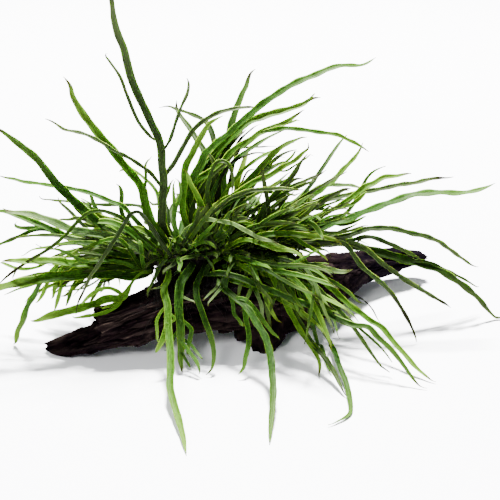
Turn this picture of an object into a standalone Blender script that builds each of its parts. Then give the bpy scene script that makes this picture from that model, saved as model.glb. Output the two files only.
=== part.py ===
"""Java fern on driftwood: a creeping rhizome rooted on a dark branch, with narrow lobed fronds.

Metres, +Z up. The origin is the middle of the flat rest under the wood's foot, +X runs to the
right along the wood and +Y away from the front of the plant.
"""

import bpy
import numpy as np
from mathutils.kdtree import KDTree

MM = 0.001
SEAM_GAP = 0.3                   # mm, between pieces that touch

# How the plant's paths are written down: as seen from the front, in picture units.
VIEW_ELEVATION = np.radians(24)  # the eye looks down on the plant by this much
VIEW_DISTANCE = 720.0            # mm, from the eye to the middle of the plant
VIEW_TARGET = np.array([-8.4, 30.0, 62.3])   # mm, the middle of the plant
PICTURE_UNIT = 0.70              # mm that one picture unit spans at the middle of the plant
PICTURE_MIDDLE = 250.0           # picture units, across and down

# Wood: one station a row, as x, y of the middle, half depth, underside and top (mm).
WOOD_STATIONS = np.array([
    (-149, -3, 4, 1, 4), (-146, -4, 8, 0, 5), (-138, -4, 12, 0, 9), (-129, -5, 13, 3, 13),
    (-117, -5, 15, 7, 17), (-113, -4, 17, 7, 29), (-101, -2, 18, 9, 32), (-94, 0, 19, 11, 36.5),
    (-83, 4, 21, 12, 39), (-62, 12, 24, 13, 44), (-40, 18, 26, 13, 47), (-20, 24, 28, 11, 48),
    (-6, 29, 29, 5, 48), (6, 34, 29, 1, 47.5), (22, 45, 29, 0, 44), (40, 60, 27, 0, 40),
    (56, 76, 23, 0, 35), (66, 86, 18, 5, 32), (72, 92, 16, 8, 30), (85, 100, 14, 9, 27.5),
    (98, 106, 12, 10, 26.5), (110, 111, 11, 13, 25.6), (123, 116, 8, 14.5, 22.3),
    (131, 118.5, 4, 17, 21),
], float)
WOOD_PARTS = {"driftwood_left_arm": (-149, -52), "driftwood_heart": (-52, 48),
              "driftwood_right_arm": (48, 131)}
WOOD_RING = 14                   # points round a section of the wood
WOOD_STEP = 11.0                 # mm between sections
WOOD_LEAST_STEP = 2.5            # mm, under which two sections become one
WOOD_SQUARENESS = 0.68           # 1 is an oval section, and less is squarer
WOOD_RIDGES = 0.055              # how far its grain stands out, as a share of its radius
# The grain's waves round the wood: height, waves round it, turn per mm along it and start (radians).
WOOD_WAVES = [(1.0, 7, 0.03, 0.5 * np.pi), (0.8, 3, -0.045, 1.1)]
FOOT_STATIONS = np.array([       # x, y, half width, half depth, z (mm), from the floor up
    (1, 1, 9, 7, 0), (2, 4, 13, 10, 8), (5, 13, 16, 13, 21), (7, 24, 13, 12, 33)], float)
FOOT_RIDGES = 5                  # ridges round the foot
FOOT_MIDDLE = np.array([3.0, 6.0, 10.0])     # mm, middle of the bulk that fronds keep clear of
FOOT_REACH = np.array([15.0, 13.0, 15.0])    # mm, and its reach each way

# Rhizome: its middle line (mm) and its radius, which tapers to the growing end on the left.
RHIZOME_LINE = np.array([(-74, 22, 54), (-60, 25, 59), (-38, 29, 58), (-14, 35, 56.5), (8, 42, 55.5),
                         (26, 47, 54)], float)
RHIZOME_RADIUS = 3.2             # mm, at its thickest
RHIZOME_THIN = 0.72              # radius of its oldest end, as a share of the thickest
RHIZOME_CLOSE = 0.45             # how far its last rings draw in
RHIZOME_SAMPLES = 61             # points of its middle line, for places on it
RHIZOME_RINGS = 13
RHIZOME_RING = 8                 # points round a ring, of the root mats too
CROWNS = {"left": (0.02, 0.27), "middle": (0.29, 0.66), "right": (0.68, 0.97)}   # share of its length
SEAT_ROWS = 5                    # rows of stalks round the rhizome, from its back to its front
SEAT_INSET = 0.25                # where a row starts, in steps between its stalks
SEAT_STAGGER = 0.5               # and how far every other row is shifted

# Root mats: low beds of root between the rhizome's underside and the wood.
ROOT_MATS = {"roots_left": (-71, -42), "roots_right": (-34, -4)}   # from x to x (mm)
ROOT_RINGS = 7
ROOT_SPREAD = 6.0                # mm, half the width of a mat
ROOT_END = 0.25                  # radians short of a point at which a mat's ends are cut
ROOT_LEAST = 0.8                 # mm, the thinnest a mat gets
ROOT_REACH = 1.5                 # mm round a mat's surface that fronds keep clear of
WOOD_NEAR = 14.0                 # mm round a place in which the wood's top is looked for

# Fronds.
STIPE_WIDTH = 1.5                # mm, the stalk at the rhizome
STALK_RISE = 5.0                 # mm that a stalk runs straight out of the rhizome
STALK_LENGTH = 45.0              # mm of stalk that the paths below leave out, about
STALK_SHARE = 0.28               # share of a frond over which its stalk widens to the blade
NECK_SHARE = 0.15                # share of a lobe over which its neck widens
NECK_WIDTH = 0.55                # a lobe's neck, as a share of its widest width
TIP_START = 3.2                  # how late a blade starts to narrow: higher is later
TIP_BLUNTNESS = 0.8              # and how blunt its tip is: lower is blunter
RIB_THICKNESS = 1.15             # mm, at the midrib
TIP_THINNING = 0.55              # how much of that thickness is gone at the tip
FLOOR_CLEARANCE = 1.3            # mm, under the middle of a blade that lies on the surface
LEAN_POWER = 1.3                 # how late a frond leans out: 1 is a straight lean
FACE_WAYS = np.array([0.0, -0.55, 0.85])   # the way the blades turn their upper side
BLADE_STEP = 8.5                 # mm between points of a blade's middle line
SECTION_EVERY = 2                # points of that line between sections of the solid
SECTION_TURN = 0.75              # radians of turn or twist after which there is a section anyway
DENSE_SECTIONS = 6               # sections at its base, where the fronds crowd, that skip none
FLAT_HEIGHT = 9.0                # mm above the surface in which a blade turns flat to it
LOBE_SPREAD = 0.22               # how far a lobe parts from its blade, as a share of its length
LOBE_FOLLOWS = 0.5               # how much a lobe keeps of its blade's slope
LOBE_STAGGER = 0.13              # mm between the roots of a frond's lobes, so none share a point
LOBE_LEAST_POINTS = 5
FLOOR_LEAN = 60.0                # mm, the lean that fronds down to the surface count with
YOUNG_SINK = 1.6                 # mm that a young frond starts inside the rhizome

# Each frond: crown, widest width (mm), lean of its tip towards the eye (mm, or "floor"), its path
# in picture units from where it leaves the crown to its tip, and its lobes as (width, path).
FRONDS = {
    "frond_tall_trident": ("left", 5.2, -30, [(162, 223), (164, 183), (161, 151), (150, 121),
                           (132, 80), (124, 49), (114, 19), (107, -24)],
                           [(2.4, [(158, 142), (140, 124), (126, 92), (104, 54)]),
                            (2.8, [(162, 156), (177, 121), (189, 88), (188, 77)]),
                            (3.2, [(164, 184), (183, 147), (208, 119), (257, 106)]),
                            (3.2, [(163, 190), (124, 156), (86, 135), (45, 118)])]),
    "frond_left_tall": ("left", 5.6, -20, [(151, 223), (142, 190), (120, 161), (89, 123), (72, 96),
                        (64, 75)], [(2.0, [(143, 195), (145, 168), (152, 158)])]),
    "frond_left_high": ("left", 5.2, 10, [(130, 243), (89, 215), (57, 185), (22, 147), (-8, 124)],
                        [(3.0, [(70, 199), (80, 212), (90, 222)])]),
    "frond_left_thin": ("left", 2.8, -30, [(140, 225), (109, 201), (66, 188), (34, 183), (-3, 175)],
                        []),
    "frond_left_dark": ("left", 2.4, -40, [(143, 208), (117, 205), (83, 204), (49, 200), (37, 197)],
                        []),
    "frond_left_forked": ("left", 4.0, -10, [(125, 250), (90, 244), (60, 235), (34, 223), (0, 212),
                          (-14, 212)], [(3.0, [(46, 229), (26, 228), (13, 222)]),
                                        (3.2, [(58, 235), (25, 236), (-10, 249)])]),
    "frond_left_grey": ("left", 4.8, 10, [(128, 243), (90, 233), (57, 224), (31, 215), (2, 211)], []),
    "frond_left_short": ("left", 5.6, -4, [(150, 249), (134, 237), (109, 222), (80, 211)], []),
    "frond_left_diagonal": ("left", 2.6, 25, [(140, 235), (118, 216), (98, 211), (77, 223), (52, 247),
                            (23, 265), (-5, 286)], []),
    "frond_left_fingers": ("left", 4.8, 24, [(140, 269), (105, 267), (66, 263), (31, 261), (2, 259)],
                           [(2.8, [(48, 262), (38, 267), (14, 268), (-1, 261)]),
                            (3.0, [(61, 263), (50, 273), (45, 291), (36, 304)]),
                            (3.0, [(73, 264), (58, 279), (52, 300)]),
                            (3.2, [(85, 265), (67, 280), (59, 295), (54, 311)])]),
    "frond_left_broad": ("left", 6.6, 30, [(140, 276), (105, 274), (69, 276), (34, 281), (0, 288),
                         (-30, 297)], [(4.8, [(44, 279), (35, 296), (23, 322), (13, 353)]),
                                       (2.0, [(100, 275), (80, 284), (47, 283)])]),
    "frond_left_striped": ("left", 3.6, 30, [(148, 222), (136, 210), (125, 222), (109, 247),
                           (90, 276), (73, 313)], []),
    "frond_left_lower": ("left", 6.4, 38, [(143, 272), (131, 285), (121, 298), (97, 304), (67, 312),
                         (31, 323)], [(2.8, [(122, 297), (113, 309), (72, 318)]),
                                      (2.8, [(122, 296), (107, 288), (94, 293), (80, 306)])]),
    "frond_back_left": ("left", 5.0, -95, [(166, 225), (162, 200), (164, 205), (168, 232)], []),
    "frond_hanging_left": ("left", 6.6, "floor", [(168, 280), (165, 296), (168, 330), (171, 370),
                           (178, 419), (187, 456)], [(2.0, [(166, 305), (157, 325), (158, 344)]),
                                                     (3.2, [(167, 322), (162, 340), (155, 353)])]),
    "frond_upright_pale": ("middle", 5.4, -20, [(183, 215), (184, 173), (199, 141), (209, 124),
                           (223, 116)], []),
    "frond_upright_longest": ("middle", 5.6, -60, [(183, 205), (196, 173), (220, 141), (260, 107),
                              (298, 82), (338, 66), (377, 59)], []),
    "frond_upright_slim": ("middle", 4.4, -72, [(190, 215), (215, 155), (245, 125), (284, 111),
                           (320, 96)], []),
    "frond_upright_forked": ("middle", 4.8, -45, [(188, 205), (196, 182), (224, 161), (258, 134),
                             (282, 124), (302, 107)],
                             [(2.0, [(279, 126), (290, 123), (299, 119)]),
                              (3.6, [(262, 133), (290, 129), (330, 135), (369, 150)])]),
    "frond_upright_needle": ("middle", 4.8, -80, [(212, 200), (222, 165), (231, 128), (243, 93),
                             (255, 69)], []),
    "frond_upright_curl": ("middle", 3.2, -95, [(212, 200), (203, 150), (183, 120), (176, 100)], []),
    "frond_upright_arch": ("middle", 2.8, -110, [(222, 190), (216, 150), (200, 118), (177, 110),
                           (160, 106)], []),
    "frond_upright_yellow": ("middle", 4.0, -50, [(228, 215), (237, 184), (250, 144)], []),
    "frond_upright_nodding": ("middle", 4.2, 10, [(208, 200), (210, 178), (218, 162), (227, 163),
                              (233, 177), (231, 197)], []),
    "frond_rising_forked": ("middle", 4.4, -35, [(225, 213), (242, 187), (267, 161), (296, 140),
                            (307, 140)], [(2.4, [(262, 166), (270, 166), (278, 164)])]),
    "frond_rising_branched": ("middle", 4.4, -20, [(200, 222), (216, 206), (250, 185), (276, 172),
                              (299, 158), (310, 143)], [(2.0, [(274, 173), (290, 159), (296, 149)]),
                                                        (1.8, [(278, 171), (300, 162), (312, 152)])]),
    "frond_rising_grey": ("middle", 3.6, 12, [(203, 225), (222, 205), (250, 191), (273, 189),
                          (303, 191)], []),
    "frond_small_arch": ("middle", 3.2, 15, [(185, 232), (207, 219), (233, 224), (260, 238),
                         (280, 243)], []),
    "frond_back_middle": ("middle", 5.2, -120, [(205, 215), (207, 188), (212, 195), (215, 240)], []),
    "frond_back_inner": ("middle", 4.6, -110, [(225, 222), (240, 200), (255, 205), (268, 238)], []),
    "frond_pale_broad": ("right", 5.6, 25, [(307, 266), (352, 273)], []),
    "frond_front_sweep": ("middle", 4.8, "floor", [(206, 275), (247, 281), (290, 299), (338, 320),
                          (368, 328), (398, 358), (427, 389)], []),
    "frond_front_fingers": ("middle", 6.4, "floor", [(185, 276), (179, 300), (181, 338), (183, 374)],
                            [(2.8, [(181, 318), (191, 329), (186, 356)]),
                             (2.4, [(182, 340), (195, 360), (201, 374)]),
                             (2.4, [(181, 326), (170, 344), (166, 352)])]),
    "frond_front_single": ("middle", 4.4, "floor", [(196, 287), (206, 323), (214, 356), (207, 377)],
                           []),
    "frond_front_trident": ("middle", 5.6, "floor", [(224, 288), (250, 311), (268, 345), (273, 391),
                            (270, 445)], [(2.4, [(230, 293), (234, 313), (243, 328)]),
                                          (3.2, [(244, 306), (249, 337), (246, 357), (238, 374)]),
                                          (2.8, [(236, 298), (252, 305), (266, 323), (281, 338)])]),
    "frond_right_dark_rising": ("right", 4.0, -30, [(230, 235), (258, 209), (284, 193), (327, 170)],
                                []),
    "frond_right_thin": ("right", 3.2, -85, [(250, 228), (284, 207), (315, 180)], []),
    "frond_right_hooked": ("right", 4.8, -45, [(255, 228), (293, 207), (326, 187), (350, 164),
                           (365, 143)], []),
    "frond_right_pale_arch": ("right", 3.2, -70, [(310, 193), (350, 186), (369, 189)],
                              []),
    "frond_right_wide": ("right", 4.4, -25, [(290, 228), (330, 212), (366, 187), (411, 172)],
                         [(2.8, [(340, 207), (354, 203), (367, 191)])]),
    "frond_right_olive": ("right", 3.6, -50, [(304, 207), (353, 195), (410, 184),
                          (452, 175)], []),
    "frond_right_longest": ("right", 6.4, -15, [(262, 248), (298, 236), (346, 221), (393, 202),
                            (441, 193), (473, 192), (495, 183)],
                            [(2.4, [(334, 225), (350, 224), (366, 216)]),
                             (2.4, [(314, 231), (330, 217), (356, 213)])]),
    "frond_right_nodding": ("right", 3.6, -20, [(307, 240), (339, 238), (378, 229),
                            (425, 237), (464, 260), (478, 270)], []),
    "frond_right_broad": ("right", 6.4, 0, [(322, 245), (368, 250), (417, 264),
                          (465, 288), (508, 334)], [(3.2, [(410, 261), (457, 274), (479, 288)]),
                                                    (3.6, [(338, 246), (372, 237), (393, 246),
                                                           (423, 258)])]),
    "frond_right_falling": ("right", 4.4, 30, [(300, 244), (346, 246), (374, 278), (403, 312),
                            (416, 343)], []),
    "frond_right_low_dark": ("right", 3.6, 0, [(310, 246), (362, 247), (397, 275), (438, 300),
                             (449, 310)], []),
    "frond_right_low_long": ("right", 4.4, "floor", [(310, 272), (333, 289), (371, 321), (406, 356),
                             (436, 383)], []),
    "frond_right_curled": ("right", 4.8, "floor", [(311, 308), (334, 353), (350, 399),
                           (349, 423), (328, 426)], [(2.6, [(306, 304), (312, 330), (331, 373)])]),
    "frond_right_front_dark": ("right", 4.0, "floor", [(298, 321), (330, 366),
                               (347, 398)], []),
    "frond_right_front_short": ("middle", 4.0, "floor", [(293, 318), (318, 361),
                                (321, 378)], []),
    "frond_back_right": ("right", 4.8, -90, [(278, 216), (292, 222), (304, 243)], []),
}
FACING_THE_EYE = {"frond_upright_nodding"}   # bends so tightly that its blade stays in one plane
# Young fronds, fused to the rhizome they grow from: crown, width, lean and path.
YOUNG_FRONDS = [
    ("left", 2.4, -50, [(158, 196), (143, 177), (126, 164)]),
    ("left", 2.8, 5, [(140, 243), (129, 237)]),
    ("left", 3.0, 10, [(120, 240), (103, 241), (77, 252), (55, 262)]),
    ("left", 2.6, 20, [(120, 262), (75, 258), (48, 247)]),
    ("left", 3.4, -10, [(165, 222), (164, 200), (172, 178)]),
    ("middle", 2.4, -5, [(175, 225), (173, 180)]),
    ("middle", 2.4, -60, [(225, 212), (240, 149), (276, 146)]),
    ("right", 4.0, -40, [(238, 221), (264, 192)]),
    ("right", 3.6, -5, [(240, 235), (261, 219), (296, 192)]),
    ("right", 3.0, -60, [(245, 205), (262, 188), (289, 179)]),
]

# Words in a frond's name that make it silvery or deep green, where the others are fresh green.
GREY_WORDS = ("grey", "pale", "striped", "small_arch", "upright_nodding")
DEEP_WORDS = ("dark", "olive", "diagonal")
FRESH_GREEN = (0.16, 0.36, 0.05)
DEEP_GREEN = (0.05, 0.15, 0.03)
GREY_GREEN = (0.20, 0.34, 0.17)
BOG_BROWN = (0.022, 0.014, 0.011)
ROOT_BROWN = (0.012, 0.009, 0.008)

RIGHT = np.array([1.0, 0.0, 0.0])
FORWARD = np.array([0.0, np.cos(VIEW_ELEVATION), -np.sin(VIEW_ELEVATION)])
PICTURE_UP = np.array([0.0, np.sin(VIEW_ELEVATION), np.cos(VIEW_ELEVATION)])
EYE = VIEW_TARGET - VIEW_DISTANCE * FORWARD
FOCAL = VIEW_DISTANCE / PICTURE_UNIT


def unit(vectors):
    return vectors / np.linalg.norm(vectors, axis=-1, keepdims=True)


def sight_line(picture):
    """Directions from the eye through picture points (N, 2)."""
    across, down = (np.asarray(picture, float) - PICTURE_MIDDLE).T / FOCAL
    return FORWARD + across[:, None] * RIGHT - down[:, None] * PICTURE_UP


def at_depth(picture, depth):
    """The points seen at picture points (N, 2) on the upright planes y = depth."""
    line = sight_line(picture)
    return EYE + line * ((depth - EYE[1]) / line[:, 1])[:, None]


def on_floor(picture, height):
    line = sight_line([picture])[0]
    return EYE + line * (height - EYE[2]) / line[2]


def seen_at(points):
    """Picture points of points (N, 3) in mm."""
    ray = np.atleast_2d(points) - EYE
    depth = ray @ FORWARD
    return PICTURE_MIDDLE + FOCAL * np.stack([ray @ RIGHT, -(ray @ PICTURE_UP)], 1) / depth[:, None]


def lengths_along(points):
    return np.concatenate([[0.0], np.cumsum(np.linalg.norm(np.diff(points, axis=0), axis=1))])


def smooth_curve(points, count):
    """A cubic Hermite curve through the points, as count points evenly spaced along it.

    Its parameter grows with the square root of each step, so short steps don't make it loop.
    """
    steps = np.sqrt(np.linalg.norm(np.diff(points, axis=0), axis=1))[:, None]
    secant = np.diff(points, axis=0) / steps
    inner = (steps[1:] * secant[:-1] + steps[:-1] * secant[1:]) / (steps[1:] + steps[:-1])
    slope = np.vstack([secant[:1], inner, secant[-1:]])
    t = np.linspace(0, 1, 13)[:-1, None, None]
    h = steps[None]
    curve = ((2 * t**3 - 3 * t**2 + 1) * points[:-1] + (t**3 - 2 * t**2 + t) * h * slope[:-1]
             + (3 * t**2 - 2 * t**3) * points[1:] + (t**3 - t**2) * h * slope[1:])
    curve = np.vstack([curve.transpose(1, 0, 2).reshape(-1, points.shape[1]), points[-1]])
    along = lengths_along(curve)
    even = np.linspace(0, along[-1], count)
    return np.stack([np.interp(even, along, axis) for axis in curve.T], 1)


# The wood

def wood_sections(start, end):
    """Rings (rings, WOOD_RING, 3) of the wood from x = start to end, in mm."""
    stations = WOOD_STATIONS
    count = int(round((end - start) / WOOD_STEP)) + 1
    x = np.unique(np.concatenate([np.linspace(start, end, count),
                                  stations[(stations[:, 0] > start) & (stations[:, 0] < end), 0]]))
    x = x[np.concatenate([[True], np.diff(x) > WOOD_LEAST_STEP])]
    x[-1] = end
    y, half, bottom, top = (np.interp(x, stations[:, 0], column) for column in stations[:, 1:].T)
    tangent = unit(np.stack([np.gradient(x), np.gradient(y)], 1))
    across = np.stack([tangent[:, 1], -tangent[:, 0], np.zeros_like(x)], 1)   # towards the eye
    angle = np.linspace(0, 2 * np.pi, WOOD_RING, endpoint=False)
    ridge = 1 + WOOD_RIDGES * sum(height * np.sin(waves * angle + twist * x[:, None] + start_at)
                                  for height, waves, twist, start_at in WOOD_WAVES)
    side = half[:, None] * np.sign(np.cos(angle)) * np.abs(np.cos(angle)) ** WOOD_SQUARENESS * ridge
    lift = np.sign(np.sin(angle)) * np.abs(np.sin(angle)) ** WOOD_SQUARENESS
    middle, reach = (top + bottom) / 2, (top - bottom) / 2
    z = middle[:, None] + reach[:, None] * lift * ridge
    z = np.clip(z, bottom[:, None], top[:, None])
    centre = np.stack([x, y, np.zeros_like(x)], 1)
    rings = centre[:, None] + across[:, None] * side[..., None]
    rings[..., 2] = z
    return rings


def foot_rings():
    angle = np.linspace(0, 2 * np.pi, WOOD_RING, endpoint=False)
    ridge = 1 + WOOD_RIDGES * np.cos(FOOT_RIDGES * angle)
    x, y, wide, deep, z = (column[:, None] for column in FOOT_STATIONS.T)
    return np.stack(np.broadcast_arrays(x + wide * np.cos(angle) * ridge,
                                        y + deep * np.sin(angle) * ridge, z), -1)


# The rhizome, and where each frond sits on it

def rhizome_frame(share):
    """Points and tangents of the rhizome's middle line at shares of its length."""
    line = smooth_curve(RHIZOME_LINE, RHIZOME_SAMPLES)
    place = np.atleast_1d(share) * (len(line) - 1)
    middle = np.stack([np.interp(place, np.arange(len(line)), axis) for axis in line.T], 1)
    slope = np.gradient(line, axis=0)
    tangent = np.stack([np.interp(place, np.arange(len(line)), axis) for axis in slope.T], 1)
    return middle, unit(tangent)


def rhizome_radius(share):
    """Its radius: it swells quickly from the growing end and thins slowly to the oldest end."""
    swell = np.sqrt(np.sin(np.pi * np.clip(np.asarray(share) + 0.18, 0, 1)))
    return RHIZOME_RADIUS * (RHIZOME_THIN + (1 - RHIZOME_THIN) * swell)


def seat_rows(plants):
    """Share along the rhizome and turn round it (radians, 0 up, + towards the eye) of each plant.

    A crown's plants sit in rows round the rhizome by how far they lean towards the eye, and in
    each row from left to right by where they head.
    """
    seats = [None] * len(plants)
    for crown, (start, end) in CROWNS.items():
        own = [i for i, plant in enumerate(plants) if plant["crown"] == crown]
        own.sort(key=lambda i: plants[i]["lean_order"])
        turns = np.linspace(-np.pi / 2, np.pi / 2, SEAT_ROWS)
        for number, (turn, row) in enumerate(zip(turns, np.array_split(np.array(own), SEAT_ROWS))):
            row = sorted(row, key=lambda i: plants[i]["heads"])
            for place, i in enumerate(row):
                step = place + SEAT_INSET + SEAT_STAGGER * (number % 2)
                seats[i] = (start + (end - start) * step / len(row), turn)
    return seats


def spot_on_rhizome(share, turn, gap):
    """A point off the rhizome's surface by gap, and the way out of it there."""
    middle, tangent = rhizome_frame(share)
    up = unit(np.array([0, 0, 1.0]) - tangent[0] * tangent[0][2])
    front = unit(np.cross(tangent[0], up))
    out = np.cos(turn) * up + np.sin(turn) * (front if front[1] < 0 else -front)
    return middle[0] + out * (rhizome_radius(share) + gap), out


# Fronds as strands: a middle line with a width at each of its points

def main_strand(plant, seat, out):
    """The middle line of a frond, from its seat on the rhizome to its tip, in mm."""
    path = np.array(plant["path"], float)
    picture = np.vstack([seen_at(seat), path])
    share = lengths_along(picture) / lengths_along(picture)[-1]
    if plant["lean"] == "floor":
        lean = seat[1] - on_floor(path[-1], FLOOR_CLEARANCE)[1]
    else:
        lean = plant["lean"]
    depth = seat[1] - lean * share[1:] ** LEAN_POWER
    places = np.vstack([seat, seat + out * STALK_RISE, at_depth(path, depth)])
    return smooth_curve(places, plant["count"])


def lobe_strand(parent, path, count, number):
    """The middle line of a frond's lobe, which leaves its blade near the first point of its path.

    Lobes lean away from the blade in turn, to its front and to its back.
    """
    path = np.array(path, float)
    root = int(np.argmin(np.linalg.norm(seen_at(parent) - path[0], axis=1)))
    root = min(max(root, 1), len(parent) - 2)
    slope = unit(parent[root + 1] - parent[root - 1])[1]
    spread = LOBE_SPREAD if number % 2 else -LOBE_SPREAD
    depth = parent[root][1] + lengths_along(path) * PICTURE_UNIT * (LOBE_FOLLOWS * slope - spread)
    start = parent[root] + unit(parent[root + 1] - parent[root]) * LOBE_STAGGER * (number + 1)
    return root, smooth_curve(np.vstack([start, at_depth(path, depth)[1:]]), count)


def blade_width(count, widest, stalked):
    """Widths along a blade: a narrow stalk, a long even strap and a drawn-out tip."""
    s = np.linspace(0, 1, count)
    swell = np.clip(s / (STALK_SHARE if stalked else NECK_SHARE), 0, 1)
    swell = swell * swell * (3 - 2 * swell)
    base = STIPE_WIDTH if stalked else NECK_WIDTH * widest
    return (base + (widest - base) * swell) * (1 - s ** TIP_START) ** TIP_BLUNTNESS


def plant_strands(plant, share, turn):
    seat, out = spot_on_rhizome(share, turn, plant["gap"])
    main = main_strand(plant, seat, out)
    face = -FORWARD if plant["name"] in FACING_THE_EYE else FACE_WAYS
    strands = [{"line": main, "width": blade_width(len(main), plant["width"], True), "root": None,
                "face": face}]
    for number, (width, path) in enumerate(plant["lobes"]):
        count = max(LOBE_LEAST_POINTS, int(drawn_length(path) / BLADE_STEP) + 2)
        root, line = lobe_strand(main, path, count, number)
        strands.append({"line": line, "width": blade_width(count, width, False), "root": root,
                        "root_at": main[root].copy(), "face": face})
    return strands


def drawn_length(path):
    """The length of a path in mm, as far as the picture shows it."""
    return lengths_along(np.array(path, float))[-1] * PICTURE_UNIT


def main_count(path):
    """How many points a frond's middle line has."""
    return int((drawn_length(path) + STALK_LENGTH) / BLADE_STEP) + 4


def all_plants():
    plants = []
    for name, (crown, width, lean, path, lobes) in FRONDS.items():
        plants.append({"name": name, "crown": crown, "width": width, "lean": lean, "path": path,
                       "lobes": lobes, "gap": SEAM_GAP, "count": main_count(path)})
    for crown, width, lean, path in YOUNG_FRONDS:
        plants.append({"name": "rhizome", "crown": crown, "width": width, "lean": lean, "path": path,
                       "lobes": [], "gap": -YOUNG_SINK, "count": main_count(path)})
    for plant in plants:
        plant["lean_order"] = FLOOR_LEAN if plant["lean"] == "floor" else plant["lean"]
        plant["heads"] = plant["path"][0][0]
    return plants


# Keeping the fronds apart: each point of a strand may slide along the line of sight

SETTLE_ROUNDS = 400
SEARCH_EVERY = 8                 # rounds between searches for neighbours
SEARCH_REACH = 13.0              # mm
CLEARANCE = 0.9                  # mm, between blades
WIDTH_SHARE = 0.50               # share of a blade's width that keeps clear of its neighbours
SEAT_REACH = 0.9                 # mm that a stalk keeps clear at its seat
SEAT_HOLD = 14.0                 # mm of stalk over which the hold of the seat fades
SEAT_OPENING = 0.1               # mm more for each mm from the seat
RANK_SHARE = 0.05                # how much the plants' places on the whole count in who is in front
OUTER_SHARE = 0.12               # and how much it counts that a strand is farther from its seat
STIFFNESS = 0.22                 # how strongly a strand evens out its own slide, from 0 to 1
LARGEST_MOVE = 2.5               # mm a round
STEM_PUSH = 0.6                  # share of an overlap with the rhizome that a round takes away
WOOD_PUSH = 5.0                  # mm a round for a point in the middle of the wood
WOOD_MARGIN = 0.8                # mm more that is kept clear of the wood
WOOD_FULLNESS = 2.8              # how square the wood counts for it: 2 is an oval section
BEHIND_WOOD = -25.0              # mm of lean under which a frond passes behind the wood
GOOD_ENOUGH = 0.02               # score at which the rounds stop


def wood_overlap(points, margin):
    """How far points are inside the wood, swollen by margin: 1 in its middle, 0 outside."""
    x = np.arange(WOOD_STATIONS[0, 0], WOOD_STATIONS[-1, 0] + 1, 2.0)
    y, half, bottom, top = (np.interp(x, WOOD_STATIONS[:, 0], a) for a in WOOD_STATIONS[:, 1:].T)
    offset = points[:, None, :2] - np.stack([x, y], 1)[None]
    near = np.linalg.norm(offset, axis=2).argmin(axis=1)
    across = np.linalg.norm(offset, axis=2).min(axis=1) / (half[near] + margin)
    height = (points[:, 2] - (top + bottom)[near] / 2) / ((top - bottom)[near] / 2 + margin)
    inside = 1 - np.abs(across) ** WOOD_FULLNESS - np.abs(height) ** WOOD_FULLNESS
    foot = np.linalg.norm((points - FOOT_MIDDLE) / (FOOT_REACH + margin[:, None]), axis=1)
    return np.maximum(np.maximum(inside, 1 - foot), 0)


def neighbours(samples, owner):
    """Pairs of samples of different plants that are within reach of each other."""
    tree = KDTree(len(samples))
    for number, place in enumerate(samples):
        tree.insert(place, number)
    tree.balance()
    pairs = [(number, other) for number, place in enumerate(samples)
             for _, other, _ in tree.find_range(place, SEARCH_REACH)
             if other > number and owner[other] != owner[number]]
    return np.array(pairs).T


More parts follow.
